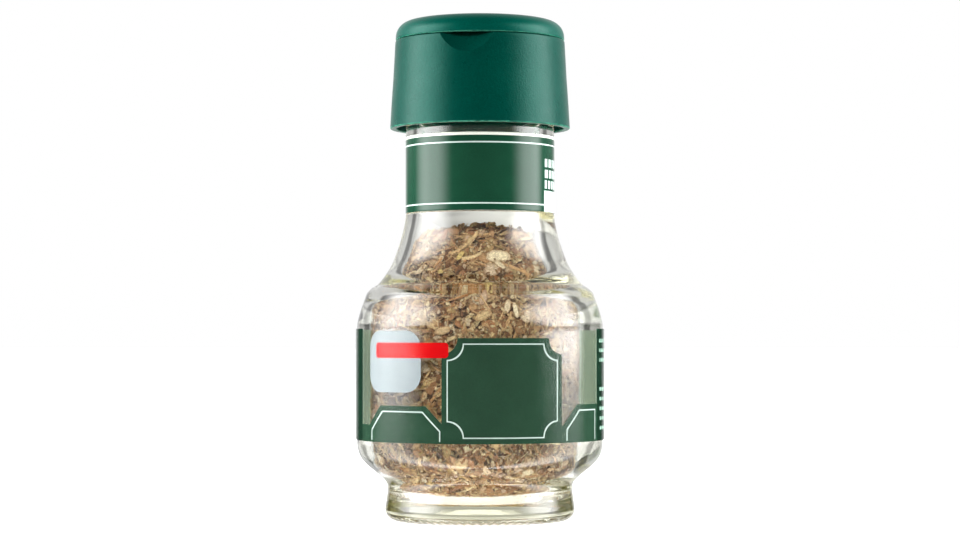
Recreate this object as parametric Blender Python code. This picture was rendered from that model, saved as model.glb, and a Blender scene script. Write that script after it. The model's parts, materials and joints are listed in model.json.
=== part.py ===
"""A clear glass spice jar of dried rubbed sage with a screwed-on flip-top sprinkler closure.

Dimensions are millimetres here and metres in the meshes, with +Z up. The origin is the centre of
the jar's base. The closure's thumb notch faces -Y and its lid hinges at the back, at +Y.
Heights are above the base, and outlines are lists of (radius, height) pairs.
"""

import math
import random

import bmesh
import bpy
from mathutils import Matrix, Vector

MM = 0.001
SIDES = 40
GAP = 0.3
SHARP_ANGLE = 35

# Jar
BASE_RING_INNER = 16.1
BASE_RING_OUTER = 17.0
HEEL_RADIUS = 2.4
PUSH_UP = 1.8
BODY_PANEL_RADIUS = 25.05
BODY_PANEL_BOTTOM = 16.3
BODY_PANEL_TOP = 39.2
NECK_PANEL_RADIUS = 14.85
NECK_PANEL_BOTTOM = 62.4
NECK_PANEL_TOP = 77.8
NECK_RADIUS = 15.2
FINISH_BOTTOM = 80.6
FINISH_RADIUS = 14.9
RIM_TOP = 94.8
BORE_RADIUS = 12.5
WAIST_KNOTS = [(18.95, 5.6), (18.86, 6.8), (19.3, 8.0), (21.1, 9.7), (23.05, 11.3)]
BELLY_KNOTS = [(24.4, 12.9), (25.05, 14.6), (25.3, 16.2)]
SHOULDER_KNOTS = [(25.3, 39.3), (25.05, 40.8), (24.5, 42.9), (23.76, 44.9), (22.97, 46.6)]
CONE_KNOTS = [(21.1, 48.2), (19.55, 49.9), (18.1, 52.3), (17.07, 54.8), (16.2, 57.5), (15.5, 60.6)]
INSIDE_KNOTS = [
    (BORE_RADIUS, 63.5), (12.9, 59.0), (14.2, 54.2), (16.5, 50.6), (19.4, 47.5), (21.5, 44.0),
    (22.4, 39.0), (22.45, 17.0), (21.9, 13.9), (19.9, 11.0), (17.0, 8.3), (15.9, 6.0), (13.4, 4.4),
]
FLOOR = 4.2

# Screw thread: one right-hand start
LEAD = 3.175
THREAD_START = 87.5
JAR_FIRST_TURN = 0.012
JAR_TURNS = 1.25
JAR_CREST = 15.9
CLOSURE_FIRST_TURN = 0.112
CLOSURE_TURNS = 1.0
CLOSURE_CREST = 15.25
THREAD_SINK = 0.35

# Sleeve labels
LABEL_THICKNESS = 0.25
LABEL_GAP = 0.2
LABEL_MARGIN = 0.2

# Dried sage
SAGE_TOP = 58.2
SAGE_CLEARANCE = 0.35
CORE_INSET = 1.7
CORE_SIDES = 30
CORE_ROUGHNESS = 0.55
FLAKE_COUNT = 185
STEM_COUNT = 28
LARGE_LEAF_COUNT = 12
SEED = 26

# Closure
SKIRT_BOTTOM = 79.95
SKIRT_KNOTS = [(18.43, 80.25), (18.1, 86.0), (17.82, 90.0), (17.6, 94.0)]
SKIRT_MOUTH = 17.1
THREAD_WALL = 16.2
DECK_BOTTOM = 96.0
DECK_TOP = 97.4
CLOSURE_TOP = 97.9
CLOSURE_TOP_RADIUS = 17.37
DECK_RECESS = 14.4
HOLE_RADIUS = 2.5
HOLE_CIRCLE = 7.5
HOLE_RING_COUNT = 6
NOTCH_RADIUS = 11.1
NOTCH_CENTRE = (26.0, 101.1)

# Lid
LID_BOTTOM = 98.2
LID_TOP = 102.0
LID_CORNER = 3.2
LID_WALL_INNER = 16.1
LID_PLATE_BOTTOM = 100.7
LID_RING = (13.2, 14.1)
PEG_RADIUS = 2.2

# Living hinge
HINGE_FLAT = 16.5
HINGE_RECESS = (96.5, 99.7)
HINGE_WEB = (16.8, 17.05)
HINGE_WEB_HALF_WIDTH = 3.6


def clear_scene():
    for obj in list(bpy.data.objects):
        bpy.data.objects.remove(obj, do_unlink=True)


def material(name, colour, roughness, transmission=0.0):
    """A Principled material with a linear base colour."""
    mat = bpy.data.materials.new(name)
    mat.use_nodes = True
    shader = mat.node_tree.nodes["Principled BSDF"]
    shader.inputs["Base Color"].default_value = (*colour, 1.0)
    shader.inputs["Roughness"].default_value = roughness
    shader.inputs["Metallic"].default_value = 0.0
    shader.inputs["Transmission Weight"].default_value = transmission
    return mat


def add_object(name, bm, mat=None):
    """An object from a closed bmesh drawn in millimetres, its faces turned outward."""
    bmesh.ops.remove_doubles(bm, verts=bm.verts, dist=0.0005)
    bmesh.ops.scale(bm, verts=bm.verts, vec=(MM, MM, MM))
    bmesh.ops.recalc_face_normals(bm, faces=bm.faces)
    mesh = bpy.data.meshes.new(name)
    bm.to_mesh(mesh)
    bm.free()
    mesh.shade_smooth()
    mesh.set_sharp_from_angle(angle=math.radians(SHARP_ANGLE))
    if mat:
        mesh.materials.append(mat)
    obj = bpy.data.objects.new(name, mesh)
    bpy.context.scene.collection.objects.link(obj)
    return obj


def arc(centre, radius, start, end, steps):
    """Points of an arc in the outline's plane. Angles are degrees from +radius towards +height."""
    points = []
    for i in range(steps + 1):
        angle = math.radians(start + (end - start) * i / steps)
        points.append((centre[0] + radius * math.cos(angle), centre[1] + radius * math.sin(angle)))
    return points


def turned(outline, closed, sides=SIDES):
    """An outline spun about Z. An open one has both its ends on the axis."""
    bm = bmesh.new()
    verts = [bm.verts.new((radius, 0, height)) for radius, height in outline]
    edges = [bm.edges.new(pair) for pair in zip(verts, verts[1:])]
    if closed:
        edges.append(bm.edges.new((verts[-1], verts[0])))
    bmesh.ops.spin(
        bm, geom=verts + edges, cent=(0, 0, 0), axis=(0, 0, 1), angle=math.tau, steps=sides, use_merge=True
    )
    bmesh.ops.remove_doubles(bm, verts=bm.verts, dist=0.0005)
    return bm


def ring(inner, outer, bottom, top):
    return turned([(inner, bottom), (outer, bottom), (outer, top), (inner, top)], closed=True)


def cylinder(radius, bottom, top, x, y, sides):
    bm = bmesh.new()
    centre = Matrix.Translation((x, y, (bottom + top) / 2))
    bmesh.ops.create_cone(
        bm, cap_ends=True, segments=sides, radius1=radius, radius2=radius, depth=top - bottom, matrix=centre
    )
    return bm


def box(low, high):
    bm = bmesh.new()
    size = [b - a for a, b in zip(low, high)]
    middle = [(a + b) / 2 for a, b in zip(low, high)]
    bmesh.ops.create_cube(bm, size=1, matrix=Matrix.Translation(middle) @ Matrix.Diagonal((*size, 1)))
    return bm


def thread(root, crest, first_turn, turns, start_height):
    """A trapezoid ridge on a right-hand helix. Its root is sunk in the wall that carries it."""
    root_half = 0.6
    crest_half = 0.32
    steps = round(turns * SIDES / 2)
    bm = bmesh.new()
    sections = []
    for i in range(steps + 1):
        turn = first_turn + turns * i / steps
        height = start_height + LEAD * turn
        angle = math.tau * turn
        section = []
        for radius, rise in ((root, -root_half), (crest, -crest_half), (crest, crest_half), (root, root_half)):
            point = (radius * math.cos(angle), radius * math.sin(angle), height + rise)
            section.append(bm.verts.new(point))
        sections.append(section)
    for low, high in zip(sections, sections[1:]):
        for k in range(4):
            bm.faces.new((low[k], low[(k + 1) % 4], high[(k + 1) % 4], high[k]))
    bm.faces.new(sections[0])
    bm.faces.new(reversed(sections[-1]))
    return bm


def helper(name, bm):
    """A shape that only cuts or joins: drawn as wire and left out of renders."""
    obj = add_object(name, bm)
    obj.hide_render = True
    obj.display_type = "WIRE"
    return obj


def combine(obj, other, operation):
    mod = obj.modifiers.new(other.name, "BOOLEAN")
    mod.operation = operation
    mod.solver = "EXACT"
    mod.object = other


def apply_modifiers(obj):
    """Bakes the modifiers into the object's own mesh."""
    depsgraph = bpy.context.evaluated_depsgraph_get()
    mesh = bpy.data.meshes.new_from_object(obj.evaluated_get(depsgraph))
    obj.modifiers.clear()
    obj.data = mesh
    mesh.name = obj.name
    mesh.set_sharp_from_angle(angle=math.radians(SHARP_ANGLE))


def outside_line():
    """The glass's outer line from the base's middle up to the rim."""
    line = [(0, PUSH_UP), (9, PUSH_UP - 0.4), (14.2, 0.6)]
    line += [(BASE_RING_INNER, 0)]
    line += arc((BASE_RING_OUTER, HEEL_RADIUS), HEEL_RADIUS, -90, 0, 3)
    line += WAIST_KNOTS + BELLY_KNOTS
    line += [(BODY_PANEL_RADIUS, BODY_PANEL_BOTTOM), (BODY_PANEL_RADIUS, BODY_PANEL_TOP)]
    line += SHOULDER_KNOTS + CONE_KNOTS
    line += [(NECK_RADIUS, NECK_PANEL_BOTTOM)]
    line += [(NECK_PANEL_RADIUS, NECK_PANEL_BOTTOM + 0.1), (NECK_PANEL_RADIUS, NECK_PANEL_TOP)]
    line += [(NECK_RADIUS, NECK_PANEL_TOP + 0.1), (NECK_RADIUS, FINISH_BOTTOM)]
    line += [(FINISH_RADIUS, FINISH_BOTTOM + 0.4)]
    line += arc((FINISH_RADIUS - 0.8, RIM_TOP - 0.8), 0.8, 0, 90, 2)
    return line


def inside_line():
    """The glass's inner line from the rim down to the middle of the floor."""
    return arc((BORE_RADIUS + 0.6, RIM_TOP - 0.6), 0.6, 90, 180, 2) + INSIDE_KNOTS + [(0, FLOOR)]


def inside_radius(height):
    """The bore's radius at a height, read from the inner line."""
    line = inside_line()
    for (upper_radius, upper), (lower_radius, lower) in zip(line, line[1:]):
        if lower <= height <= upper:
            part = (height - lower) / max(upper - lower, 1e-6)
            return lower_radius + part * (upper_radius - lower_radius)
    return 0.0 if height < FLOOR else BORE_RADIUS


def make_jar(glass):
    jar = add_object("jar", turned(outside_line() + inside_line(), closed=False), glass)
    ridge = thread(FINISH_RADIUS - THREAD_SINK, JAR_CREST, JAR_FIRST_TURN, JAR_TURNS, THREAD_START)
    combine(jar, helper("jar_thread", ridge), "UNION")


def make_label(name, radius, bottom, top, film):
    inner = radius + LABEL_GAP
    sleeve = ring(inner, inner + LABEL_THICKNESS, bottom + LABEL_MARGIN, top - LABEL_MARGIN)
    add_object(name, sleeve, film)


def core_line():
    """The solid heart of the filling, inset from the glass, closed by its low heap."""
    line = [(0, FLOOR + CORE_INSET)]
    heights = [6.3, 9.0, 12.5, 16.5, 23, 30, 37, 42.4, 45.6, 48.6, 51.8, 55.0]
    for height in heights:
        line.append((inside_radius(height) - CORE_INSET, height))
    line += [(8.5, SAGE_TOP - 1.3), (4.0, SAGE_TOP - 0.3), (0, SAGE_TOP)]
    return line


def place_on_core(draw, line):
    """A point on the core's skin, spread evenly over its area, and the outward normal there."""
    areas = []
    for (r0, z0), (r1, z1) in zip(line, line[1:]):
        areas.append((r0 + r1) * math.hypot(r1 - r0, z1 - z0))
    pick = draw.next_area() * sum(areas)
    index = 0
    while pick > areas[index]:
        pick -= areas[index]
        index += 1
    (r0, z0), (r1, z1) = line[index], line[index + 1]
    part = pick / areas[index]
    radius = r0 + part * (r1 - r0)
    angle = draw.next_angle()
    across = Vector((r1 - r0, 0, z1 - z0)).normalized()
    normal = Vector((across.z, 0, -across.x))
    turn = Matrix.Rotation(angle, 3, "Z")
    return turn @ Vector((radius, 0, z0 + part * (z1 - z0))), turn @ normal


class EvenDraw:
    """Areas and angles in golden-ratio steps, so that the pieces spread evenly over the core."""

    def __init__(self, count):
        self.count = count
        self.index = 0

    def next_area(self):
        return (self.index + 0.5) / self.count

    def next_angle(self):
        self.index += 1
        return math.tau * ((self.index * 0.6180339887) % 1)


def leaf_bit(rng, length, width, thickness, corners):
    """A broken leaf piece: an uneven flat prism lying in its own XY plane."""
    bm = bmesh.new()
    low = []
    high = []
    for i in range(corners):
        angle = math.tau * (i + rng.uniform(-0.3, 0.3)) / corners
        reach = rng.uniform(0.75, 1.1)
        x = length / 2 * reach * math.cos(angle)
        y = width / 2 * reach * math.sin(angle)
        low.append(bm.verts.new((x, y, -thickness / 2)))
        high.append(bm.verts.new((x, y, thickness / 2)))
    bm.faces.new(reversed(low))
    bm.faces.new(high)
    for i in range(corners):
        j = (i + 1) % corners
        bm.faces.new((low[i], low[j], high[j], high[i]))
    return bm


def keep_inside(bm):
    """Slides a piece towards the axis and up until all of it clears the glass."""
    for _ in range(40):
        worst = 0.0
        for v in bm.verts:
            reach = math.hypot(v.co.x, v.co.y)
            worst = max(worst, reach - (inside_radius(v.co.z) - SAGE_CLEARANCE))
        low = min(v.co.z for v in bm.verts)
        lift = max(0.0, FLOOR + 0.5 + SAGE_CLEARANCE - low)
        if worst <= 0 and lift <= 0:
            return
        middle = sum((v.co for v in bm.verts), Vector()) / len(bm.verts)
        inward = Vector((-middle.x, -middle.y, 0)).normalized() * min(max(worst, 0), 0.5)
        bmesh.ops.translate(bm, verts=bm.verts, vec=inward + Vector((0, 0, lift)))


def crumbly_core(rng, line):
    """The turned core with its skin pushed in and out at random, like loose crumbs."""
    bm = turned(line, closed=False, sides=CORE_SIDES)
    for v in bm.verts:
        out = Vector((v.co.x, v.co.y, 0))
        if out.length > 1:
            v.co += out.normalized() * rng.uniform(-CORE_ROUGHNESS, CORE_ROUGHNESS)
            v.co.z += rng.uniform(-CORE_ROUGHNESS, CORE_ROUGHNESS)
    return bm


def keep_largest_body(obj):
    """Drops loose scraps and fills hollows that the union sealed."""
    bm = bmesh.new()
    bm.from_mesh(obj.data)
    unseen = set(bm.verts)
    bodies = []
    while unseen:
        body = [unseen.pop()]
        for v in body:
            for edge in v.link_edges:
                other = edge.other_vert(v)
                if other in unseen:
                    unseen.remove(other)
                    body.append(other)
        bodies.append(body)
    bodies.sort(key=len)
    scraps = [v for body in bodies[:-1] for v in body]
    bmesh.ops.delete(bm, geom=scraps, context="VERTS")
    bm.to_mesh(obj.data)
    bm.free()


def make_sage(leaf):
    rng = random.Random(SEED)
    line = core_line()
    sage = add_object("sage_fill", crumbly_core(rng, line), leaf)
    pieces = bpy.data.collections.new("sage_pieces")
    total = FLAKE_COUNT + STEM_COUNT + LARGE_LEAF_COUNT
    kinds = ["flake"] * FLAKE_COUNT + ["stem"] * STEM_COUNT + ["large"] * LARGE_LEAF_COUNT
    rng.shuffle(kinds)
    draw = EvenDraw(total)
    for i, kind in enumerate(kinds):
        point, normal = place_on_core(draw, line)
        if kind == "stem":
            bm = leaf_bit(rng, rng.uniform(6.0, 9.5), 1.15, 1.1, 4)
            tilt = rng.uniform(-12, 12)
            rise = 0.45
        elif kind == "large":
            bm = leaf_bit(rng, rng.uniform(6.5, 8.0), rng.uniform(4.4, 5.4), 0.8, 6)
            tilt = rng.uniform(-16, 16)
            rise = 0.4
        else:
            bm = leaf_bit(rng, rng.uniform(4.0, 6.4), rng.uniform(2.8, 4.4), 0.75, 5)
            tilt = rng.uniform(-28, 28)
            rise = rng.uniform(0.2, 0.45)
        lay = normal.to_track_quat("Z", "Y").to_matrix().to_4x4()
        spin = Matrix.Rotation(rng.uniform(0, math.tau), 4, "Z")
        lean = Matrix.Rotation(math.radians(tilt), 4, "Y")
        place = Matrix.Translation(point + normal * rise) @ lay @ spin @ lean
        bmesh.ops.transform(bm, matrix=place, verts=bm.verts)
        keep_inside(bm)
        piece = add_object(f"piece_{i:03d}", bm, leaf)
        bpy.context.scene.collection.objects.unlink(piece)
        pieces.objects.link(piece)
    union = sage.modifiers.new("pieces", "BOOLEAN")
    union.operation = "UNION"
    union.operand_type = "COLLECTION"
    union.solver = "EXACT"
    union.collection = pieces
    apply_modifiers(sage)
    keep_largest_body(sage)
    sage.data.shade_flat()
    for piece in list(pieces.objects):
        bpy.data.objects.remove(piece, do_unlink=True)
    bpy.data.collections.remove(pieces)


def closure_line():
    """The closure's wall, from under the deck, down inside the skirt, round its rim and up outside."""
    inside = [(0, DECK_BOTTOM), (THREAD_WALL - 1.0, DECK_BOTTOM), (THREAD_WALL, DECK_BOTTOM - 1.4)]
    inside += [(THREAD_WALL, 84.4), (SKIRT_MOUTH, 83.5), (SKIRT_MOUTH + 0.05, SKIRT_BOTTOM + 0.15)]
    rim = [(SKIRT_MOUTH + 0.25, SKIRT_BOTTOM), (SKIRT_KNOTS[0][0] - 0.25, SKIRT_BOTTOM)]
    outside = SKIRT_KNOTS + [(CLOSURE_TOP_RADIUS, CLOSURE_TOP), (DECK_RECESS, CLOSURE_TOP)]
    return inside + rim + outside + [(DECK_RECESS, DECK_TOP), (0, DECK_TOP)]


def sprinkle_places():
    """The middle hole and the ring of holes round it."""
    places = [(0, 0)]
    for i in range(HOLE_RING_COUNT):
        angle = math.tau * (i + 0.5) / HOLE_RING_COUNT
        places.append((HOLE_CIRCLE * math.cos(angle), HOLE_CIRCLE * math.sin(angle)))
    return places


def notch_ball():
    bm = bmesh.new()
    distance, height = NOTCH_CENTRE
    place = Matrix.Translation((0, -distance, height))
    bmesh.ops.create_uvsphere(bm, u_segments=32, v_segments=20, radius=NOTCH_RADIUS, matrix=place)
    return bm


def hinge_recess():
    """The room behind the closure and the lid in which the living hinge's web lies."""
    bottom, top = HINGE_RECESS
    return box((-5.5, HINGE_FLAT, bottom), (5.5, HINGE_FLAT + 2, top))


def make_closure(plastic):
    closure = add_object("closure", turned(closure_line(), closed=False), plastic)
    start = THREAD_START - LEAD / 2
    ridge = thread(THREAD_WALL + THREAD_SINK, CLOSURE_CREST, CLOSURE_FIRST_TURN, CLOSURE_TURNS, start)
    combine(closure, helper("closure_thread", ridge), "UNION")
    for i, (x, y) in enumerate(sprinkle_places()):
        hole = cylinder(HOLE_RADIUS, DECK_BOTTOM - 1, DECK_TOP + 1, x, y, 16)
        combine(closure, helper(f"sprinkle_hole_{i}", hole), "DIFFERENCE")
    combine(closure, helper("thumb_notch", notch_ball()), "DIFFERENCE")
    combine(closure, helper("closure_hinge_recess", hinge_recess()), "DIFFERENCE")


def lid_line():
    wall = [(0, LID_PLATE_BOTTOM), (LID_WALL_INNER - 0.4, LID_PLATE_BOTTOM)]
    wall += [(LID_WALL_INNER, LID_PLATE_BOTTOM - 0.4), (LID_WALL_INNER, LID_BOTTOM)]
    wall += [(CLOSURE_TOP_RADIUS - 0.03, LID_BOTTOM)]
    corner = (CLOSURE_TOP_RADIUS - 0.07 - LID_CORNER, LID_TOP - LID_CORNER)
    return wall + arc(corner, LID_CORNER, 0, 90, 6) + [(0, LID_TOP)]


def make_lid(plastic):
    lid = add_object("lid", turned(lid_line(), closed=False), plastic)
    inner, outer = LID_RING
    collar = ring(inner, outer, DECK_TOP + GAP, LID_PLATE_BOTTOM + 0.5)
    combine(lid, helper("locating_ring", collar), "UNION")
    for i, (x, y) in enumerate(sprinkle_places()):
        peg = cylinder(PEG_RADIUS, DECK_TOP - 0.4, LID_PLATE_BOTTOM + 0.5, x, y, 12)
        combine(lid, helper(f"hole_peg_{i}", peg), "UNION")
    combine(lid, helper("lid_hinge_recess", hinge_recess()), "DIFFERENCE")


def make_hinge_web(plastic):
    inner, outer = HINGE_WEB
    bottom, top = HINGE_RECESS
    low = (-HINGE_WEB_HALF_WIDTH, inner, bottom + GAP)
    add_object("hinge_web", box(low, (HINGE_WEB_HALF_WIDTH, outer, top - GAP)), plastic)


def main():
    clear_scene()
    glass = material("clear_glass", (0.93, 0.95, 0.92), 0.03, transmission=1.0)
    green = material("green_plastic", (0.004, 0.105, 0.078), 0.42)
    film = material("printed_film", (0.012, 0.055, 0.032), 0.3)
    leaf = material("dried_sage", (0.36, 0.27, 0.15), 0.85)
    liner = material("white_liner", (0.8, 0.8, 0.78), 0.5)
    make_jar(glass)
    make_label("neck_label", NECK_PANEL_RADIUS, NECK_PANEL_BOTTOM, NECK_PANEL_TOP, film)
    make_label("body_label", BODY_PANEL_RADIUS, BODY_PANEL_BOTTOM, BODY_PANEL_TOP, film)
    make_sage(leaf)
    add_object("seal_ring", ring(12.9, 14.8, RIM_TOP + GAP, DECK_BOTTOM - GAP), liner)
    make_closure(green)
    make_lid(green)
    make_hinge_web(green)


main()
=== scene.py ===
import json
import math
import random

import bmesh
import bpy
import numpy as np
from mathutils import Matrix, Vector, noise

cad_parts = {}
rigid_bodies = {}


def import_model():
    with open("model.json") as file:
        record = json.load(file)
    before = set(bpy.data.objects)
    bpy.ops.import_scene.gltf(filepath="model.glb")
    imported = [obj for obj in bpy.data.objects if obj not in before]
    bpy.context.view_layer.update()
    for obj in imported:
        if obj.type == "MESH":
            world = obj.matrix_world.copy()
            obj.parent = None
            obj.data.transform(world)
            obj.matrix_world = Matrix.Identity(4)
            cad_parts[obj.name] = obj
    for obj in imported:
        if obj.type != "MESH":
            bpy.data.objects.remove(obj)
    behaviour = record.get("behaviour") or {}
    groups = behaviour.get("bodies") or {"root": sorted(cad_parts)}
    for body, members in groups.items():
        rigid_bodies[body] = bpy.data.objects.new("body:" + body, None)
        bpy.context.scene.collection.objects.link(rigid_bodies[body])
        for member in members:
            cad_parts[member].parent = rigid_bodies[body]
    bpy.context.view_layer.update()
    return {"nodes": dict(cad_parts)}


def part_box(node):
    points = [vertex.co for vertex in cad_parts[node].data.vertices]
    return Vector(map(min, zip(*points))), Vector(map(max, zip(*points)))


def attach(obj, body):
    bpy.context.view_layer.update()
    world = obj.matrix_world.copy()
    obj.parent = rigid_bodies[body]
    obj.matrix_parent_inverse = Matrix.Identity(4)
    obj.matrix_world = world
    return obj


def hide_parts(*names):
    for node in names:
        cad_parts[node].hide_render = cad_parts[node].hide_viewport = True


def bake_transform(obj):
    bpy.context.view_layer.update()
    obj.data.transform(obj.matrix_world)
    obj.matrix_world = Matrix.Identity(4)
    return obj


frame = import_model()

# A clear glass spice jar of dried rubbed sage with a green flip-top closure.
# Sizes are millimetres here and metres in the meshes. Outlines are lists of (radius, height).
mm = 0.001
cameraSide = -81.0  # where the camera stands round the jar, in degrees from +X


def tell(stage):
    print("sage jar:", stage)


def around(degrees, distance, height):
    # a place this many degrees round from +X, that far from the jar's axis
    angle = math.radians(degrees)
    return Vector((distance * math.cos(angle), distance * math.sin(angle), height)) * mm


# Node trees

def colour(red, green, blue):
    # a screen colour, 0 to 255, as the shaders take it
    parts = []
    for part in (red, green, blue):
        share = part / 255
        parts.append(share / 12.92 if share <= 0.04045 else ((share + 0.055) / 1.055) ** 2.4)
    return (*parts, 1.0)


def feed(tree, socket, value):
    if isinstance(value, bpy.types.NodeSocket):
        tree.links.new(value, socket)
    else:
        socket.default_value = value


def addNode(tree, kind, inputs=None, **settings):
    # inputs are values or the sockets that feed them
    node = tree.nodes.new(kind)
    for name, value in settings.items():
        setattr(node, name, value)
    for name, value in (inputs or {}).items():
        feed(tree, node.inputs[name], value)
    return node


def maths(tree, operation, *values):
    return addNode(tree, "ShaderNodeMath", dict(enumerate(values)), operation=operation).outputs[0]


def product(tree, first, *others):
    for other in others:
        first = maths(tree, "MULTIPLY", first, other)
    return first


def vectorMaths(tree, operation, *vectors):
    node = addNode(tree, "ShaderNodeVectorMath", dict(enumerate(vectors)), operation=operation)
    return node.outputs["Value" if operation == "LENGTH" else "Vector"]


def scaled(tree, vector, amount):
    return addNode(tree, "ShaderNodeVectorMath", {0: vector, "Scale": amount}, operation="SCALE").outputs[0]


def split(tree, vector):
    return addNode(tree, "ShaderNodeSeparateXYZ", {0: vector}).outputs


def objectPlace(tree):
    return addNode(tree, "ShaderNodeTexCoord").outputs["Object"]


def fade(tree, value, start, end, low=0.0, high=1.0):
    # goes smoothly from low to high as the value goes from start to end
    values = {"Value": value, "From Min": start, "From Max": end, "To Min": low, "To Max": high}
    return addNode(tree, "ShaderNodeMapRange", values, interpolation_type="SMOOTHSTEP").outputs["Result"]


def ramp(tree, factor, stops):
    node = addNode(tree, "ShaderNodeValToRGB", {"Fac": factor})
    bands = node.color_ramp.elements
    while len(bands) < len(stops):
        bands.new(0.5)
    for band, (place, shade) in zip(bands, stops):
        band.position = place
        band.color = shade
    return node.outputs["Color"]


def toneRamp(tree, factor, tones):
    return ramp(tree, factor, [(place, colour(*shade)) for place, shade in tones])


def mixValues(tree, factor, first, second):
    return addNode(tree, "ShaderNodeMix", {"Factor": factor, "A": first, "B": second}).outputs["Result"]


def mixColours(tree, factor, first, second, blend="MIX"):
    values = {0: factor, 6: first, 7: second}
    return addNode(tree, "ShaderNodeMix", values, data_type="RGBA", blend_type=blend).outputs[2]


def mottled(tree, base, pattern, dark, light):
    # the base in darker and lighter patches: dark and light are a level of the pattern and the share of each
    # of red, green and blue there
    stops = [(place, (*shares, 1)) for place, shares in (dark, light)]
    return mixColours(tree, 1.0, base, ramp(tree, pattern, stops), "MULTIPLY")


def newMaterial(name, **settings):
    # settings are the Principled sockets' names with their spaces taken out
    mat = bpy.data.materials.new(name)
    mat.use_nodes = True
    shader = mat.node_tree.nodes["Principled BSDF"]
    for socket in shader.inputs:
        key = socket.name.replace(" ", "")
        if key in settings:
            socket.default_value = settings.pop(key)
    if settings:
        raise ValueError(f"{name}: no socket for {sorted(settings)}")
    return mat, mat.node_tree, shader


def grain(tree, size, detail=3.0, roughness=0.55):
    # noise in Object coordinates with features of about this many millimetres
    values = {"Vector": objectPlace(tree), "Scale": 1 / (size * mm), "Detail": detail, "Roughness": roughness}
    return addNode(tree, "ShaderNodeTexNoise", values).outputs["Fac"]


def addBump(tree, shader, height, depth, strength=1.0):
    node = addNode(tree, "ShaderNodeBump", {"Height": height, "Distance": depth * mm, "Strength": strength})
    tree.links.new(node.outputs["Normal"], shader.inputs["Normal"])


def newGeometryTree(name, inputs):
    tree = bpy.data.node_groups.new(name, "GeometryNodeTree")
    tree.interface.new_socket("Geometry", in_out="INPUT", socket_type="NodeSocketGeometry")
    for label, kind in inputs.items():
        tree.interface.new_socket(label, in_out="INPUT", socket_type=f"NodeSocket{kind}")
    tree.interface.new_socket("Geometry", in_out="OUTPUT", socket_type="NodeSocketGeometry")
    return tree, addNode(tree, "NodeGroupInput").outputs


def pushedOut(tree, place, amount):
    # a move away from the jar's axis
    flat = vectorMaths(tree, "MULTIPLY", place, (1, 1, 0))
    return scaled(tree, vectorMaths(tree, "NORMALIZE", flat), amount)


def moved(tree, geometry, offset):
    return addNode(tree, "GeometryNodeSetPosition", {"Geometry": geometry, "Offset": offset}).outputs[0]


def endTree(tree, geometry, material):
    real = addNode(tree, "GeometryNodeRealizeInstances", {0: geometry}).outputs[0]
    painted = addNode(tree, "GeometryNodeSetMaterial", {"Geometry": real, "Material": material})
    addNode(tree, "NodeGroupOutput", {0: painted.outputs[0]})


# Outlines and meshes

def smoothThrough(knots, perSpan=4):
    # a smooth line through the knots that doesn't overshoot
    points = [Vector(knot) for knot in knots]
    points = [2 * points[0] - points[1]] + points + [2 * points[-1] - points[-2]]
    line = []
    for a, b, c, d in zip(points, points[1:], points[2:], points[3:]):
        times = [0.0]
        for start, end in ((a, b), (b, c), (c, d)):
            times.append(times[-1] + max((end - start).length, 1e-6) ** 0.5)
        for i in range(perSpan):
            t = times[1] + (times[2] - times[1]) * i / perSpan
            near = [p.lerp(q, (t - s) / (e - s)) for p, q, s, e in
                    ((a, b, times[0], times[1]), (b, c, times[1], times[2]), (c, d, times[2], times[3]))]
            far = [near[0].lerp(near[1], (t - times[0]) / (times[2] - times[0])),
                   near[1].lerp(near[2], (t - times[1]) / (times[3] - times[1]))]
            line.append(tuple(far[0].lerp(far[1], (t - times[1]) / (times[2] - times[1]))))
    return line + [tuple(points[-2])]


def straight(radius, start, end, steps):
    # an upright line between two heights
    return [(radius, start + (end - start) * i / steps) for i in range(steps + 1)]


def arc(centre, radius, start, end, steps):
    # angles are degrees from +radius towards +height
    line = []
    for i in range(steps + 1):
        angle = math.radians(start + (end - start) * i / steps)
        line.append((centre[0] + radius * math.cos(angle), centre[1] + radius * math.sin(angle)))
    return line


def filleted(corners, steps=5):
    # corners are (radius, height, size of the rounding); the two ends aren't rounded
    line = [corners[0][:2]]
    for before, here, after in zip(corners, corners[1:], corners[2:]):
        if here[2] == 0:
            line.append(here[:2])
            continue
        corner = Vector(here[:2])
        sides = [Vector(before[:2]) - corner, Vector(after[:2]) - corner]
        half = sides[0].angle(sides[1]) / 2
        reach = min(here[2] / math.tan(half), sides[0].length * 0.49, sides[1].length * 0.49)
        start, end = (corner + side.normalized() * reach for side in sides)
        for i in range(steps + 1):
            line.append(tuple(start.lerp(corner, i / steps).lerp(corner.lerp(end, i / steps), i / steps)))
    return line + [corners[-1][:2]]


def onCircle(radius, angle, height):
    # a point in metres, from millimetres and radians
    return (radius * mm * math.cos(angle), radius * mm * math.sin(angle), height * mm)


def lathe(outline, sides, closed=False):
    bm = bmesh.new()
    rows = []
    for radius, height in outline:
        count = 1 if radius < 1e-6 else sides
        rows.append([bm.verts.new(onCircle(radius, math.tau * i / sides, height)) for i in range(count)])
    for low, high in list(zip(rows, rows[1:])) + ([(rows[-1], rows[0])] if closed else []):
        for i in range(sides):
            j = (i + 1) % sides
            if len(low) == 1:
                bm.faces.new((low[0], high[j], high[i]))
            elif len(high) == 1:
                bm.faces.new((low[i], low[j], high[0]))
            else:
                bm.faces.new((low[i], low[j], high[j], high[i]))
    return bm


def skin(bm, rings, ends=True):
    # walls from each ring of points to the next
    for low, high in zip(rings, rings[1:]):
        for k in range(len(low)):
            after = (k + 1) % len(low)
            bm.faces.new((low[k], low[after], high[after], high[k]))
    if ends:
        bm.faces.new(rings[0])
        bm.faces.new(rings[-1])


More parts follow.
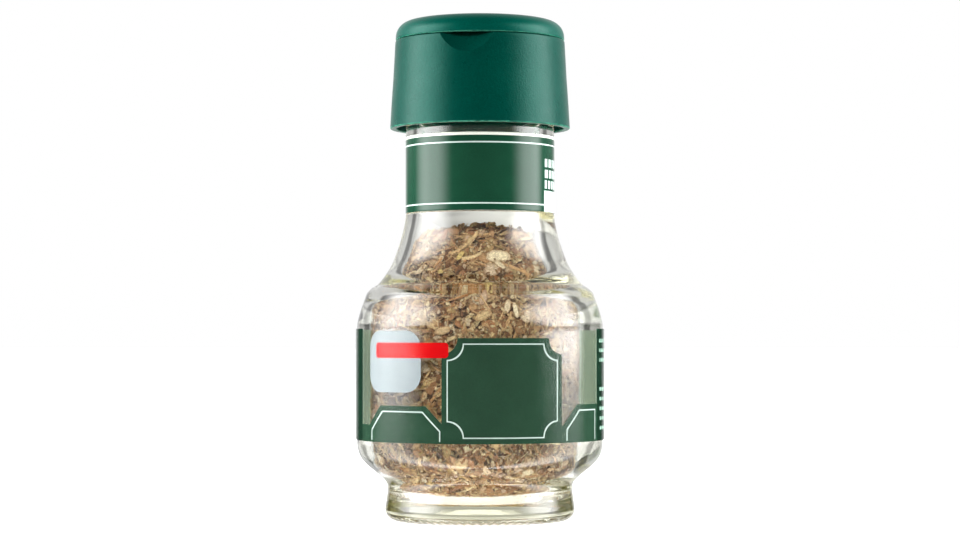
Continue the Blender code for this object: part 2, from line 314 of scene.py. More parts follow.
def addShape(whole, bm):
    # puts one mesh into another, and tells how many points it has
    mesh = bpy.data.meshes.new("shape")
    bm.to_mesh(mesh)
    bm.free()
    whole.from_mesh(mesh)
    count = len(mesh.vertices)
    bpy.data.meshes.remove(mesh)
    return count


def readPlaces(mesh):
    places = np.empty(len(mesh.vertices) * 3)
    mesh.vertices.foreach_get("co", places)
    return places.reshape(-1, 3)


def writePlaces(mesh, places):
    mesh.vertices.foreach_set("co", places.ravel())
    mesh.update()


def setTones(piece, tones):
    piece.data.attributes.new("tone", "FLOAT", "POINT").data.foreach_set("value", tones)


def makeObject(name, bm, materials=(), sharp=40, recalculate=True):
    if recalculate:
        bmesh.ops.remove_doubles(bm, verts=bm.verts, dist=1e-7)
        bmesh.ops.recalc_face_normals(bm, faces=bm.faces)
    mesh = bpy.data.meshes.new(name)
    bm.to_mesh(mesh)
    bm.free()
    shadeSmooth(mesh, sharp)
    for mat in materials:
        mesh.materials.append(mat)
    piece = bpy.data.objects.new(name, mesh)
    bpy.context.scene.collection.objects.link(piece)
    return piece


def shadeSmooth(mesh, sharp):
    if sharp:
        mesh.shade_smooth()
        mesh.set_sharp_from_angle(angle=math.radians(sharp))
    else:
        mesh.shade_flat()


def takePlainMesh(piece):
    # the evaluated mesh takes the place of the mesh and its modifiers
    graph = bpy.context.evaluated_depsgraph_get()
    mesh = bpy.data.meshes.new_from_object(
        piece.evaluated_get(graph), preserve_all_data_layers=True, depsgraph=graph)
    piece.modifiers.clear()
    piece.data = mesh
    mesh.name = piece.name


def runTree(piece, tree, values):
    mod = piece.modifiers.new(tree.name, "NODES")
    mod.node_group = tree
    for item in tree.interface.items_tree:
        if item.item_type == "SOCKET" and item.in_out == "INPUT" and item.name in values:
            mod[item.identifier] = values[item.name]
    takePlainMesh(piece)


def cut(piece, cutter):
    mod = piece.modifiers.new("cut", "BOOLEAN")
    mod.operation = "DIFFERENCE"
    mod.solver = "EXACT"
    mod.object = cutter
    takePlainMesh(piece)
    bpy.data.objects.remove(cutter, do_unlink=True)


def settle(piece, body, slot, *nodes):
    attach(piece, body)
    if nodes:
        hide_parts(*nodes)


# Camera, light and floor

camera = {
    "distance": 492.0,
    "height": 37.15,
    "tilt": 1.62,  # degrees up
    "lens": 90.0,
    "sensor": 36.0,
}


def makeCamera():
    data = bpy.data.cameras.new("camera")
    data.lens = camera["lens"]
    data.sensor_width = camera["sensor"]
    data.clip_start = 0.01
    data.clip_end = 20
    holder = bpy.data.objects.new("camera", data)
    holder.location = around(cameraSide, camera["distance"], camera["height"])
    holder.rotation_euler = (math.radians(90 + camera["tilt"]), 0, math.radians(cameraSide + 90))
    bpy.context.scene.collection.objects.link(holder)
    bpy.context.scene.camera = holder


makeCamera()

studio = {
    # Each soft box begins this many degrees round from the camera at three heights, and ends at "far".
    "left": {"low": 71, "middle": 56, "high": 51, "far": 105, "farSoft": 16, "radiance": 12.2},
    "right": {"low": 69, "middle": 62, "high": 49, "far": 104, "farSoft": 11, "radiance": 11.8},
    "heights": (-0.05, 0.045, 0.62),  # the three heights, as the sine of the elevation
    "nearSoft": 15.0,  # half of the degrees over which an edge fades
    "bottom": (-0.024, -0.002),  # where the boxes fade in and out, from bottom to top
    "below": {"heights": (-0.7, -0.2), "levels": (0.5, 0.32)},  # what is left of them below that
    "top": (0.47, 0.66),
    "backdropHalf": 26,  # the white backdrop's half width in degrees, straight behind the jar
    "backdropSoft": 6,
    "backdrop": 0.87,
    "wing": {"from": (100, 118), "heights": (0.03, 0.13), "level": 0.8},  # paler cards behind the soft boxes
    "room": 0.015,  # what is left between them, as surfaces reflect it
    "roomThroughGlass": 0.63,
    "gapThroughGlass": 0.13,  # the dark gaps between the soft boxes and the backdrop, seen through glass
    "haze": {"heights": (0.02, 0.13), "level": 0.74},  # the room seen through glass is dimmer low down
    "gap": (129, 136, 144, 149),  # degrees at which a gap fades in and out
    "boxThroughGlass": 0.05,
    "boxLighting": 0.13,  # their share in the light on matt things
    "floor": (222, 222, 219),
    "floorFront": 170,  # how far the floor reaches in front of the jar
    "floorReach": 4000,
    "floorGlow": {"seen": 0.7, "light": 0.5, "other": 0.1},  # to the camera, on matt things, and else
    "floorNear": (45, 120),  # the lit paper under the jar, as it shows through glass
    "floorBeyond": (70, 69, 66),
    "floorThroughGlass": (0.4, 0.8),  # how much of that shows through glass, and where the dark gaps are
    # big lamps that show in no reflection: two behind the soft boxes and one over the camera
    "fills": {
        "left": {"turn": -100, "away": 900, "height": 260, "size": 600, "radiance": 21.0},
        "right": {"turn": 100, "away": 900, "height": 260, "size": 600, "radiance": 21.0},
        "front": {"turn": -12, "away": 850, "height": 480, "size": 150, "radiance": 97.0},
    },
}


def makeFill(name, plan):
    data = bpy.data.lights.new(f"fill {name}", "AREA")
    data.size = plan["size"] * mm
    data.energy = plan["radiance"] * math.pi * data.size * data.size
    lamp = bpy.data.objects.new(f"fill {name}", data)
    lamp.location = around(cameraSide + plan["turn"], plan["away"], plan["height"])
    lamp.rotation_euler = (Vector((0, 0, 60 * mm)) - lamp.location).to_track_quat("-Z", "Y").to_euler()
    lamp.visible_camera = False
    lamp.visible_glossy = False
    lamp.visible_transmission = False
    bpy.context.scene.collection.objects.link(lamp)
    return lamp


def spareSage(lamps):
    # the glass keeps most of the side fills from the dried sage
    spared = bpy.data.collections.new("sage behind glass")
    for piece in bpy.data.objects:
        if piece.type == "MESH" and piece.name.startswith("sage") and not piece.hide_render:
            spared.objects.link(piece)
    for entry in spared.collection_objects:
        entry.light_linking.link_state = "EXCLUDE"
    for lamp in lamps:
        lamp.light_linking.receiver_collection = spared


def fromCamera(tree, vector):
    # degrees round from the camera's side, either way, and the height
    angle = math.radians(-cameraSide)
    values = {"Vector": vector, "Angle": angle}
    turned = addNode(tree, "ShaderNodeVectorRotate", values, rotation_type="Z_AXIS").outputs[0]
    x, y, z = split(tree, turned)
    return maths(tree, "DEGREES", maths(tree, "ARCTAN2", y, x)), z


def gapShare(tree, degrees):
    rises, falls = studio["gap"][:2], studio["gap"][2:]
    return product(tree, fade(tree, degrees, *rises), fade(tree, degrees, *falls, 1.0, 0.0))


def softBoxes(tree, turn, height):
    low, middle, high = studio["heights"]
    near = studio["nearSoft"]
    boxes = 0.0
    for name, side in (("left", -1.0), ("right", 1.0)):
        box = studio[name]
        sideways = product(tree, turn, side)
        start = fade(tree, height, low, middle, box["low"] - box["middle"], 0.0)
        start = maths(tree, "ADD", start, fade(tree, height, middle, high, box["middle"], box["high"]))
        rise = fade(tree, maths(tree, "SUBTRACT", sideways, start), -near, near)
        fall = fade(tree, sideways, box["far"] - box["farSoft"], box["far"] + box["farSoft"], 1.0, 0.0)
        boxes = maths(tree, "ADD", product(tree, rise, fall, box["radiance"]), boxes)
    below = fade(tree, height, *studio["below"]["heights"], *studio["below"]["levels"])
    lower = maths(tree, "MAXIMUM", fade(tree, height, *studio["bottom"]), below)
    return product(tree, boxes, lower, fade(tree, height, *studio["top"], 1.0, 0.0))


def makeWorld():
    world = bpy.data.worlds.new("studio")
    world.use_nodes = True
    bpy.context.scene.world = world
    tree = world.node_tree
    tree.nodes.clear()
    turn, height = fromCamera(tree, addNode(tree, "ShaderNodeTexCoord").outputs["Generated"])
    eitherWay = maths(tree, "ABSOLUTE", turn)
    ray = addNode(tree, "ShaderNodeLightPath").outputs
    through = ray["Is Transmission Ray"]
    haze, wing = studio["haze"], studio["wing"]
    gap = gapShare(tree, eitherWay)
    seenRoom = mixValues(tree, gap, studio["roomThroughGlass"], studio["gapThroughGlass"])
    seenRoom = product(tree, seenRoom, fade(tree, height, *haze["heights"], haze["level"], 1.0))
    card = product(tree, fade(tree, eitherWay, *wing["from"]), fade(tree, height, *wing["heights"]))
    card = maths(tree, "MULTIPLY_ADD", card, wing["level"], studio["room"])
    room = mixValues(tree, through, card, seenRoom)
    share = fade(tree, ray["Is Glossy Ray"], 0.0, 1.0, studio["boxLighting"], 1.0)
    share = mixValues(tree, through, share, studio["boxThroughGlass"])
    edge = 180 - studio["backdropHalf"]
    behind = fade(tree, eitherWay, edge - studio["backdropSoft"], edge + studio["backdropSoft"])
    behind = product(tree, behind, maths(tree, "SUBTRACT", 1.0, through))
    level = mixValues(tree, behind, room, studio["backdrop"])
    level = maths(tree, "ADD", level, product(tree, softBoxes(tree, turn, height), share))
    seen = mixValues(tree, ray["Is Camera Ray"], level, 1.0)
    glow = addNode(tree, "ShaderNodeBackground", {"Color": (1, 1, 1, 1), "Strength": seen})
    addNode(tree, "ShaderNodeOutputWorld", {"Surface": glow.outputs[0]})


def makeFloor():
    pale = colour(*studio["floor"])
    mat, tree, shader = newMaterial("pale floor", BaseColor=pale, Roughness=0.7, EmissionColor=(1, 1, 1, 1))
    ray = addNode(tree, "ShaderNodeLightPath").outputs
    place = objectPlace(tree)
    gap = gapShare(tree, maths(tree, "ABSOLUTE", fromCamera(tree, place)[0]))
    least, most = studio["floorThroughGlass"]
    share = product(tree, ray["Is Transmission Ray"], maths(tree, "MULTIPLY_ADD", gap, most - least, least))
    away = fade(tree, vectorMaths(tree, "LENGTH", place), *(edge * mm for edge in studio["floorNear"]))
    beyond = product(tree, away, share)
    feed(tree, shader.inputs["Base Color"], mixColours(tree, beyond, pale, colour(*studio["floorBeyond"])))
    glow = studio["floorGlow"]
    other = glow["other"]
    light = maths(tree, "MULTIPLY_ADD", ray["Is Diffuse Ray"], glow["light"] - other, other)
    light = maths(tree, "MULTIPLY_ADD", ray["Is Camera Ray"], glow["seen"] - other, light)
    light = product(tree, light, maths(tree, "SUBTRACT", 1.0, beyond))
    feed(tree, shader.inputs["Emission Strength"], light)
    addBump(tree, shader, grain(tree, 2.0), 0.02)
    bm = bmesh.new()
    reach = studio["floorReach"] * mm
    bmesh.ops.create_grid(bm, x_segments=8, y_segments=8, size=reach)
    bmesh.ops.translate(bm, verts=bm.verts, vec=(studio["floorFront"] * mm - reach, 0, -0.05 * mm))
    bmesh.ops.rotate(bm, verts=bm.verts, matrix=Matrix.Rotation(math.radians(cameraSide), 3, "Z"))
    floor = makeObject("floor", bm, [mat])
    floor.visible_glossy = False


fills = {name: makeFill(name, plan) for name, plan in studio["fills"].items()}
makeWorld()
makeFloor()
scene = bpy.context.scene
scene.view_settings.view_transform = "Standard"
scene.cycles.max_bounces = 32
scene.cycles.transmission_bounces = 16
scene.cycles.transparent_max_bounces = 24
scene.cycles.glossy_bounces = 28
scene.cycles.caustics_reflective = False
scene.cycles.caustics_refractive = False
tell("camera, light and floor")


# Glass jar

jar = {
    "sides": 325,  # five to each knurl
    "knurls": 65,
    "knurlDepth": 0.22,
    "knurlTop": 1.2,
    "knurlsFrom": 15.5,  # the radius outside which they are
    "waveDepth": 0.07,
    "waveSize": 13.0,
    "waveHeights": (1.5, 6.0),  # over which the waves begin
    "pushUp": 1.8,
    "ringInner": 16.1,
    "ringOuter": 17.0,
    "heel": 2.4,
    "panelRadius": 25.12,
    "panelBottom": 16.5,
    "panelTop": 39.0,
    "neckPanelRadius": 14.85,
    "neckPanelBottom": 62.4,
    "neckPanelTop": 77.8,
    "neckRadius": 15.2,
    "finishBottom": 80.6,
    "finishRadius": 14.9,
    "rimTop": 94.8,
    "rimRound": 0.8,
    "bore": 12.5,
    "floor": 3.3,
    "waist": [(18.95, 5.6), (18.86, 6.8), (19.3, 8.0), (21.1, 9.7), (23.05, 11.3), (24.4, 12.9),
              (25.0, 14.6), (25.12, 15.6), (25.13, 16.3)],
    "shoulder": [(25.13, 39.2), (25.12, 39.9), (24.9, 41.0), (24.3, 43.1), (23.65, 44.9), (23.1, 46.3),
                 (22.3, 47.2), (20.9, 48.1), (19.5, 49.8), (18.1, 52.1), (17.15, 54.4), (16.25, 57.1),
                 (15.62, 59.6), (15.32, 61.2), (15.22, 62.2)],
    "uneven": 0.75,  # how far the inner wall stands to the left of the outer one below the neck
    "unevenFrom": (66.0, 57.0),
    "inside": [(12.5, 63.0), (12.58, 61.4), (12.8, 59.8), (13.35, 57.3), (14.2, 54.4), (15.1, 51.8),
               (15.85, 49.9), (16.6, 48.6), (17.7, 47.5), (19.1, 46.5), (20.5, 45.4), (21.6, 43.9),
               (22.2, 42.0), (22.45, 39.0), (22.5, 28.0), (22.45, 17.0), (21.9, 13.9), (19.9, 11.0),
               (17.0, 8.3), (16.2, 5.6), (14.0, 3.6)],
}
thread = {
    "lead": 3.175,
    "start": 87.5,
    "jarTurn": 0.012,
    "jarTurns": 1.25,
    "jarHeight": 1.0,
    "closureTurn": 0.112,
    "closureTurns": 1.0,
    "closureHeight": -0.95,
    "flank": (0.3, 0.75),  # from the ridge's middle to where its flank begins and ends
    "runOut": 0.06,  # in turns
}


def jarOutside():
    heel, ring = jar["heel"], jar["ringOuter"]
    panel, wall = jar["panelRadius"], jar["neckRadius"]
    inset, finish = jar["neckPanelRadius"], jar["finishRadius"]
    line = smoothThrough([(0, jar["pushUp"]), (9, jar["pushUp"] - 0.4), (14.2, 0.6), (jar["ringInner"], 0)])
    line += [(ring - 0.4, 0)] + arc((ring, heel), heel, -90, 0, 10)[:-1]
    line += smoothThrough([(ring + heel, heel)] + jar["waist"])
    line += [(panel, jar["panelBottom"] + 0.3)]
    line += straight(panel, 17.5, 38.0, 10) + [(panel, jar["panelTop"] - 0.3)]
    line += smoothThrough(jar["shoulder"])
    line += filleted([(*jar["shoulder"][-1], 0), (wall, jar["neckPanelBottom"], 0.1), (inset, 62.5, 0.1),
                      (inset, 63.2, 0)], 3)[1:]
    line += straight(inset, 64.5, 76.0, 6)
    line += filleted([(inset, 77.2, 0), (inset, jar["neckPanelTop"], 0.1), (wall, 77.9, 0.1), (wall, 78.6, 0),
                      (wall, jar["finishBottom"], 0.3), (finish, 81.2, 0.3), (finish, 83.5, 0)], 3)
    line += straight(finish, 85.5, 93.3, 30)
    rim = jar["rimRound"]
    return line + arc((finish - rim, jar["rimTop"] - rim), rim, 0, 90, 5)


def wallShift(height):
    # the moulded wall is thicker on the right
    high, low = jar["unevenFrom"]
    share = np.clip((high - height) / (high - low), 0, 1)
    return jar["uneven"] * share * share * (3 - 2 * share)


def jarInside():
    line = arc((jar["bore"] + 0.6, jar["rimTop"] - 0.6), 0.6, 90, 180, 4) + straight(jar["bore"], 92, 66, 6)
    line += smoothThrough([(radius - wallShift(height), height) for radius, height in jar["inside"]])
    return line + [(9, jar["floor"] + 0.05), (4, jar["floor"]), (0, jar["floor"])]


insideLine = sorted(jarInside(), key=lambda point: point[1])
insideHeights = [height for radius, height in insideLine]
insideRadii = [radius for radius, height in insideLine]


def insideRadius(height):
    return np.interp(height, insideHeights, insideRadii)


def shiftInside(mesh, only=None):
    # moves a mesh, or only some of its points, with the inner wall to the left as the camera sees it
    places = readPlaces(mesh)
    shift = wallShift(places[:, 2] / mm) * mm
    if only is not None:
        shift *= only(np.hypot(places[:, 0], places[:, 1]) / mm, places[:, 2] / mm)
    left = around(cameraSide - 90, 1 / mm, 0)
    places[:, 0] += left.x * shift
    places[:, 1] += left.y * shift
    writePlaces(mesh, places)


def threadTree():
    # raises a helical ridge from the wall between two radii, or sinks it inwards with a negative height
    tree, given = newGeometryTree("screw thread", {
        "Lead": "Float", "Start": "Float", "First Turn": "Float", "Turns": "Float", "Height": "Float",
        "Inner Wall": "Float", "Outer Wall": "Float", "Material": "Material"})
    place = addNode(tree, "GeometryNodeInputPosition").outputs[0]
    x, y, z = split(tree, place)
    radius = maths(tree, "SQRT", maths(tree, "ADD", product(tree, x, x), product(tree, y, y)))
    share = maths(tree, "DIVIDE", maths(tree, "ARCTAN2", y, x), math.tau)
    share = maths(tree, "FLOORED_MODULO", share, 1.0)
    rise = maths(tree, "DIVIDE", maths(tree, "SUBTRACT", z, given["Start"]), given["Lead"])
    offset = maths(tree, "SUBTRACT", rise, share)
    nearest = maths(tree, "ROUND", offset)
    apart = maths(tree, "ABSOLUTE", maths(tree, "SUBTRACT", offset, nearest))
    flank = [edge * mm for edge in thread["flank"]]
    ridge = fade(tree, product(tree, apart, given["Lead"]), *flank, 1.0, 0.0)
    turn = maths(tree, "SUBTRACT", maths(tree, "ADD", share, nearest), given["First Turn"])
    begins = fade(tree, turn, 0.0, thread["runOut"])
    ends = fade(tree, maths(tree, "SUBTRACT", given["Turns"], turn), 0.0, thread["runOut"])
    outside = maths(tree, "GREATER_THAN", radius, given["Inner Wall"])
    inside = maths(tree, "LESS_THAN", radius, given["Outer Wall"])
    push = product(tree, ridge, begins, ends, outside, inside, given["Height"])
    endTree(tree, moved(tree, given["Geometry"], pushedOut(tree, place, push)), given["Material"])
    return tree


def knurlTree():
    # notches round the bearing ring, and the slow waves that moulded glass has
    tree, given = newGeometryTree("moulded glass", {
        "Knurls": "Int", "Knurl Depth": "Float", "Knurl Top": "Float", "Wave Depth": "Float",
        "Wave Size": "Float", "Material": "Material"})
    place = addNode(tree, "GeometryNodeInputPosition").outputs[0]
    x, y, z = split(tree, place)
    groove = maths(tree, "COSINE", product(tree, maths(tree, "ARCTAN2", y, x), given["Knurls"]))
    groove = maths(tree, "MULTIPLY_ADD", groove, 0.5, 0.5)
    near = maths(tree, "SUBTRACT", 1.0, maths(tree, "DIVIDE", z, given["Knurl Top"]))
    radius = vectorMaths(tree, "LENGTH", vectorMaths(tree, "MULTIPLY", place, (1, 1, 0)))
    outside = maths(tree, "GREATER_THAN", radius, jar["knurlsFrom"] * mm)
    low = product(tree, maths(tree, "MAXIMUM", near, 0.0), outside)
    lift = product(tree, groove, low, given["Knurl Depth"])
    up = addNode(tree, "ShaderNodeCombineXYZ", {2: lift}).outputs[0]
    values = {"Vector": place, "Scale": maths(tree, "DIVIDE", 1.0, given["Wave Size"]), "Detail": 1.0}
    wave = addNode(tree, "ShaderNodeTexNoise", values).outputs["Fac"]
    begins = fade(tree, z, *(edge * mm for edge in jar["waveHeights"]))
    sway = product(tree, maths(tree, "SUBTRACT", wave, 0.5), given["Wave Depth"], begins)
    move = vectorMaths(tree, "ADD", up, pushedOut(tree, place, sway))
    endTree(tree, moved(tree, given["Geometry"], move), given["Material"])
    return tree


def glassMaterial():
    # lamps reach the herb straight through the wall; everything that is seen through it is refracted
    mat, tree, shader = newMaterial(
        "clear glass", BaseColor=(0.985, 0.99, 0.98, 1), Roughness=0.0, IOR=1.5, TransmissionWeight=1.0)
    ray = addNode(tree, "ShaderNodeLightPath").outputs
    through = maths(tree, "MAXIMUM", ray["Is Shadow Ray"], ray["Is Diffuse Ray"])
    clear = addNode(tree, "ShaderNodeBsdfTransparent", {"Color": (1, 1, 1, 1)}).outputs[0]
    mixed = addNode(tree, "ShaderNodeMixShader", {0: through, 1: shader.outputs[0], 2: clear}).outputs[0]
    output = tree.nodes["Material Output"].inputs
    feed(tree, output["Surface"], mixed)
    tint = addNode(tree, "ShaderNodeVolumeAbsorption", {"Color": (0.84, 0.83, 0.60, 1), "Density": 27.0})
    feed(tree, output["Volume"], tint.outputs[0])
    return mat


glass = glassMaterial()
screwThread = threadTree()


def threadValues(turn, turns, height, walls, mat, start=thread["start"]):
    return {"Lead": thread["lead"] * mm, "Start": start * mm, "First Turn": turn, "Turns": turns,
            "Height": height * mm, "Inner Wall": walls[0] * mm, "Outer Wall": walls[1] * mm, "Material": mat}


def makeJar():
    piece = makeObject("jarGlass", lathe(jarOutside() + jarInside(), jar["sides"]), [glass])
    shiftInside(piece.data, lambda radius, height: (
        (radius < insideRadius(height) + 0.05) & (height > jar["floor"] - 0.1)))
    runTree(piece, knurlTree(), {
        "Knurls": jar["knurls"], "Knurl Depth": jar["knurlDepth"] * mm, "Knurl Top": jar["knurlTop"] * mm,
        "Wave Depth": jar["waveDepth"] * mm, "Wave Size": jar["waveSize"] * mm, "Material": glass})
    walls = (jar["finishRadius"] - 0.5, jar["finishRadius"] + 0.5)
    runTree(piece, screwThread, threadValues(
        thread["jarTurn"], thread["jarTurns"], thread["jarHeight"], walls, glass))
    shadeSmooth(piece.data, 50)
    settle(piece, "jar", "clear_glass", "jar")


makeJar()
tell("glass jar")


# Dried sage

sage = {
    "clearance": 0.25,  # from the glass to the skin over which the bits are strewn
    "gap": 0.28,  # from the glass to the bits that lie furthest out
    "loosest": 0.6,  # how much further in some bits lie
    "shownGap": 0.14,  # from the glass to the chosen bits
    "wallHeights": (6.0, 55.5),
    "heap": [(12.3, 56.0), (11.2, 57.3), (8.5, 58.3), (4.0, 59.0), (0, 59.2)],
    "coreInset": 1.5,
    "coreBump": 0.7,
    "rimShade": (168, 118, 76),
    "veinShade": (150, 112, 76),
    "veins": 9.0,  # side veins along a bit of leaf
    "veinLean": 7.0,
    "sides": 120,
    "seed": 26,
}
leafTones = [
    (0.0, (98, 62, 38)), (0.14, (150, 108, 74)), (0.28, (184, 146, 104)), (0.4, (212, 182, 136)),
    (0.52, (174, 150, 98)), (0.64, (226, 200, 158)), (0.74, (164, 112, 74)), (0.84, (252, 240, 208)),
    (0.9, (200, 172, 150)), (0.96, (232, 209, 136)), (1.0, (255, 250, 232)),
]
crumbTones = [(0.0, (98, 68, 45)), (0.3, (146, 113, 79)), (0.65, (178, 152, 112)), (1.0, (226, 206, 166))]
stalkTones = [(0.0, (169, 120, 78)), (0.3, (201, 156, 109)), (0.65, (214, 184, 139)), (1.0, (229, 212, 171))]
# the packed core under the loose bits is darker than they are: partly its own tone, partly painted shade in
# the gaps between them
coreShadeTones = [(0.0, (90, 67, 46)), (0.5, (118, 90, 64)), (1.0, (146, 116, 84))]


def attribute(tree, name, output="Fac"):
    return addNode(tree, "ShaderNodeAttribute", attribute_name=name).outputs[output]


def sageMaterial(name, tones, veined=False):
    # each bit's own "tone" picks its colour, its rim is browner, and mottling and side veins lie over it
    mat, tree, shader = newMaterial(name, Roughness=0.9, SpecularIORLevel=0.15, SheenWeight=0.1,
                                    SheenRoughness=0.6)
    brown = fade(tree, attribute(tree, "rim"), 0.35, 1.0, 0.0, 0.5)
    base = mixColours(tree, brown, toneRamp(tree, attribute(tree, "tone"), tones), colour(*sage["rimShade"]))
    patches = grain(tree, 0.42, 4.0, 0.72)
    shade = mottled(tree, base, patches, (0.3, (0.55, 0.5, 0.44)), (0.7, (1.3, 1.29, 1.26)))
    wool = grain(tree, 0.24, 4.0, 0.75)
    if veined:
        place = split(tree, attribute(tree, "blade", "Vector"))
        outward = maths(tree, "ABSOLUTE", place[1])
        slant = product(tree, outward, -sage["veinLean"])
        phase = maths(tree, "MULTIPLY_ADD", place[0], sage["veins"], slant)
        phase = maths(tree, "ADD", phase, product(tree, grain(tree, 0.6), 1.6))
        away = maths(tree, "PINGPONG", phase, 0.5)
        vein = product(tree, fade(tree, away, 0.04, 0.26), fade(tree, outward, 0.0, 0.05))
        shade = mixColours(tree, fade(tree, vein, 0.0, 1.0, 0.3, 0.0), shade, colour(*sage["veinShade"]))
        wool = maths(tree, "MULTIPLY_ADD", vein, 0.4, wool)
    feed(tree, shader.inputs["Base Color"], shade)
    addBump(tree, shader, wool, 0.16, 0.85)
    return mat


def sageSkin():
    # the line that the loose fill makes against the glass
    line = [(0, jar["floor"] + 0.6), (12.6, jar["floor"] + 0.7)]
    for height in np.linspace(*sage["wallHeights"], 40):
        line.append((float(insideRadius(height)) - sage["clearance"], float(height)))
    return line + sage["heap"]


def sageCore(mat):
    inset = sage["coreInset"]
    bottom, top = sage["wallHeights"]
    line = []
    for radius, height in sageSkin():
        if radius > inset:
            line.append((radius - inset, height + inset * (height < bottom) - inset * (height > top + 0.1)))
    line = [(0, line[0][1])] + line + [(0, line[-1][1] + 0.2)]
    bm = lathe(line, sage["sides"])
    for v in bm.verts:
        bump = noise.noise(v.co * 700) + 0.6 * noise.noise(v.co * 1600)
        flat = Vector((v.co.x, v.co.y, 0))
        if flat.length > 1 * mm:
            v.co += flat.normalized() * bump * sage["coreBump"] * mm
        v.co.z += 0.5 * bump * mm
    piece = makeObject("sageCore", bm, [mat], sharp=0)
    setTones(piece, [0.5 + 0.5 * noise.noise(v.co * 1200) for v in piece.data.vertices])
    return piece


def flake(rng, slim, cup, corners=10, ragged=0.26):
    # a torn scrap of leaf one unit long with a thin ragged rim, bent across and along
    bm = bmesh.new()
    rimLayer = bm.verts.layers.float.new("rim")
    blade = bm.verts.layers.float_vector.new("blade")
    thickness = 0.12

    def lifted(x, y):
        bent = cup * (y * y / slim / slim - 0.12) * 0.5 + 0.35 * cup * x * x
        return Vector((x, y, bent + rng.uniform(-0.05, 0.05)))

    rim = []
    for i in range(corners):
        angle = math.tau * (i + rng.uniform(-0.3, 0.3)) / corners
        reach = rng.uniform(1 - ragged, 1.04) * 0.5
        rim.append(lifted(reach * math.cos(angle), slim * reach * math.sin(angle)))
    inner = []
    for i in range(0, corners, 2):
        inner.append(lifted(rim[i].x * 0.55, rim[i].y * 0.55) + Vector((0, 0, rng.uniform(-0.02, 0.05))))
    top = [bm.verts.new(point) for point in rim]
    ring = [bm.verts.new(point) for point in inner]
    hub = bm.verts.new(lifted(0, 0) + Vector((0, 0, 0.03)))
    dip = bm.verts.new(hub.co - Vector((0, 0, thickness)))
    for v in top:
        v[rimLayer] = 1.0
    for v in ring:
        v[rimLayer] = 0.3
    for v in bm.verts:
        v[blade] = (v.co.x, v.co.y, 0)
    for k in range(len(ring)):
        i, j, m = 2 * k, (2 * k + 1) % corners, (2 * k + 2) % corners
        after = ring[(k + 1) % len(ring)]
        bm.faces.new((top[i], top[j], ring[k]))
        bm.faces.new((top[j], after, ring[k]))
        bm.faces.new((top[j], top[m], after))
        bm.faces.new((ring[k], after, hub))
    for i in range(corners):
        j = (i + 1) % corners
        bm.faces.new((top[j], top[i], dip))
    return bm


def curledBit(rng):
    # a strip of leaf rolled along its length with ragged sides, closed all round
    bm = bmesh.new()
    rimLayer = bm.verts.layers.float.new("rim")
    blade = bm.verts.layers.float_vector.new("blade")
    rows = 5
    across = 3
    curl = rng.uniform(0.8, 2.6)
    bow = rng.uniform(-0.25, 0.25)
    top = []
    under = []
    for i in range(rows):
        along = i / (rows - 1) - 0.5
        wide = 0.2 * (1 - 1.6 * along * along) * rng.uniform(0.75, 1.2)
        lean = bow * (0.25 - along * along) + rng.uniform(-0.03, 0.03)
        upper = []
        lower = []
        for k in range(across):
            angle = (k / (across - 1) - 0.5) * curl
            radius = 2 * wide / curl
            point = Vector((along, radius * math.sin(angle) + lean, radius * (math.cos(angle) - 1)))
            point += Vector((rng.uniform(-0.05, 0.05), rng.uniform(-0.03, 0.03), rng.uniform(-0.03, 0.03)))
            upper.append(bm.verts.new(point))
            lower.append(bm.verts.new(point - Vector((0, math.sin(angle), math.cos(angle))) * 0.045))
            upper[-1][blade] = (along, 0.2 * (k - 1), 0)
            lower[-1][blade] = (along, 0.2 * (k - 1), 0)
            if k != 1:
                upper[-1][rimLayer] = 0.8
                lower[-1][rimLayer] = 1.0
        top.append(upper)
        under.append(lower)
    for i in range(rows - 1):
        for k in range(across - 1):
            bm.faces.new((top[i][k], top[i + 1][k], top[i + 1][k + 1], top[i][k + 1]))
            bm.faces.new((under[i][k], under[i][k + 1], under[i + 1][k + 1], under[i + 1][k]))
        bm.faces.new((top[i][0], under[i][0], under[i + 1][0], top[i + 1][0]))
        bm.faces.new((top[i][-1], top[i + 1][-1], under[i + 1][-1], under[i][-1]))
    for k in range(across - 1):
        bm.faces.new((top[0][k], top[0][k + 1], under[0][k + 1], under[0][k]))
        bm.faces.new((top[-1][k], under[-1][k], under[-1][k + 1], top[-1][k + 1]))
    bmesh.ops.recalc_face_normals(bm, faces=bm.faces)
    return bm


def crumb(rng):
    bm = bmesh.new()
    bmesh.ops.create_icosphere(bm, subdivisions=1, radius=0.5)
    for v in bm.verts:
        v.co *= rng.uniform(0.4, 1.15)
        v.co.z *= 0.6
    return bm


def stalk(rng, thick=0.06, sides=5, bend=0.12):
    # a bent twig one unit long, snapped at both ends
    bm = bmesh.new()
    rings = []
    bow = rng.uniform(-bend, bend)
    for i in range(4):
        along = i / 3 - 0.5
        size = thick * rng.uniform(0.8, 1.15)
        row = []
        for k in range(sides):
            angle = math.tau * k / sides
            skew = 0.04 * math.cos(angle) * (1 if i in (0, 3) else 0)
            across = bow * (1 - 4 * along * along) + size * math.cos(angle)
            row.append(bm.verts.new((along + skew, across, size * math.sin(angle))))
        rings.append(row)
    skin(bm, rings)
    bmesh.ops.recalc_face_normals(bm, faces=bm.faces)
    return bm


def bitCollection(name, shapes):
    # shapes one unit long, for the scatter to pick from
    group = bpy.data.collections.new(name)
    bpy.context.scene.collection.children.link(group)
    for i, bm in enumerate(shapes):
        piece = makeObject(f"{name}{i}", bm, sharp=0, recalculate=False)
        bpy.context.scene.collection.objects.unlink(piece)
        group.objects.link(piece)
    return group


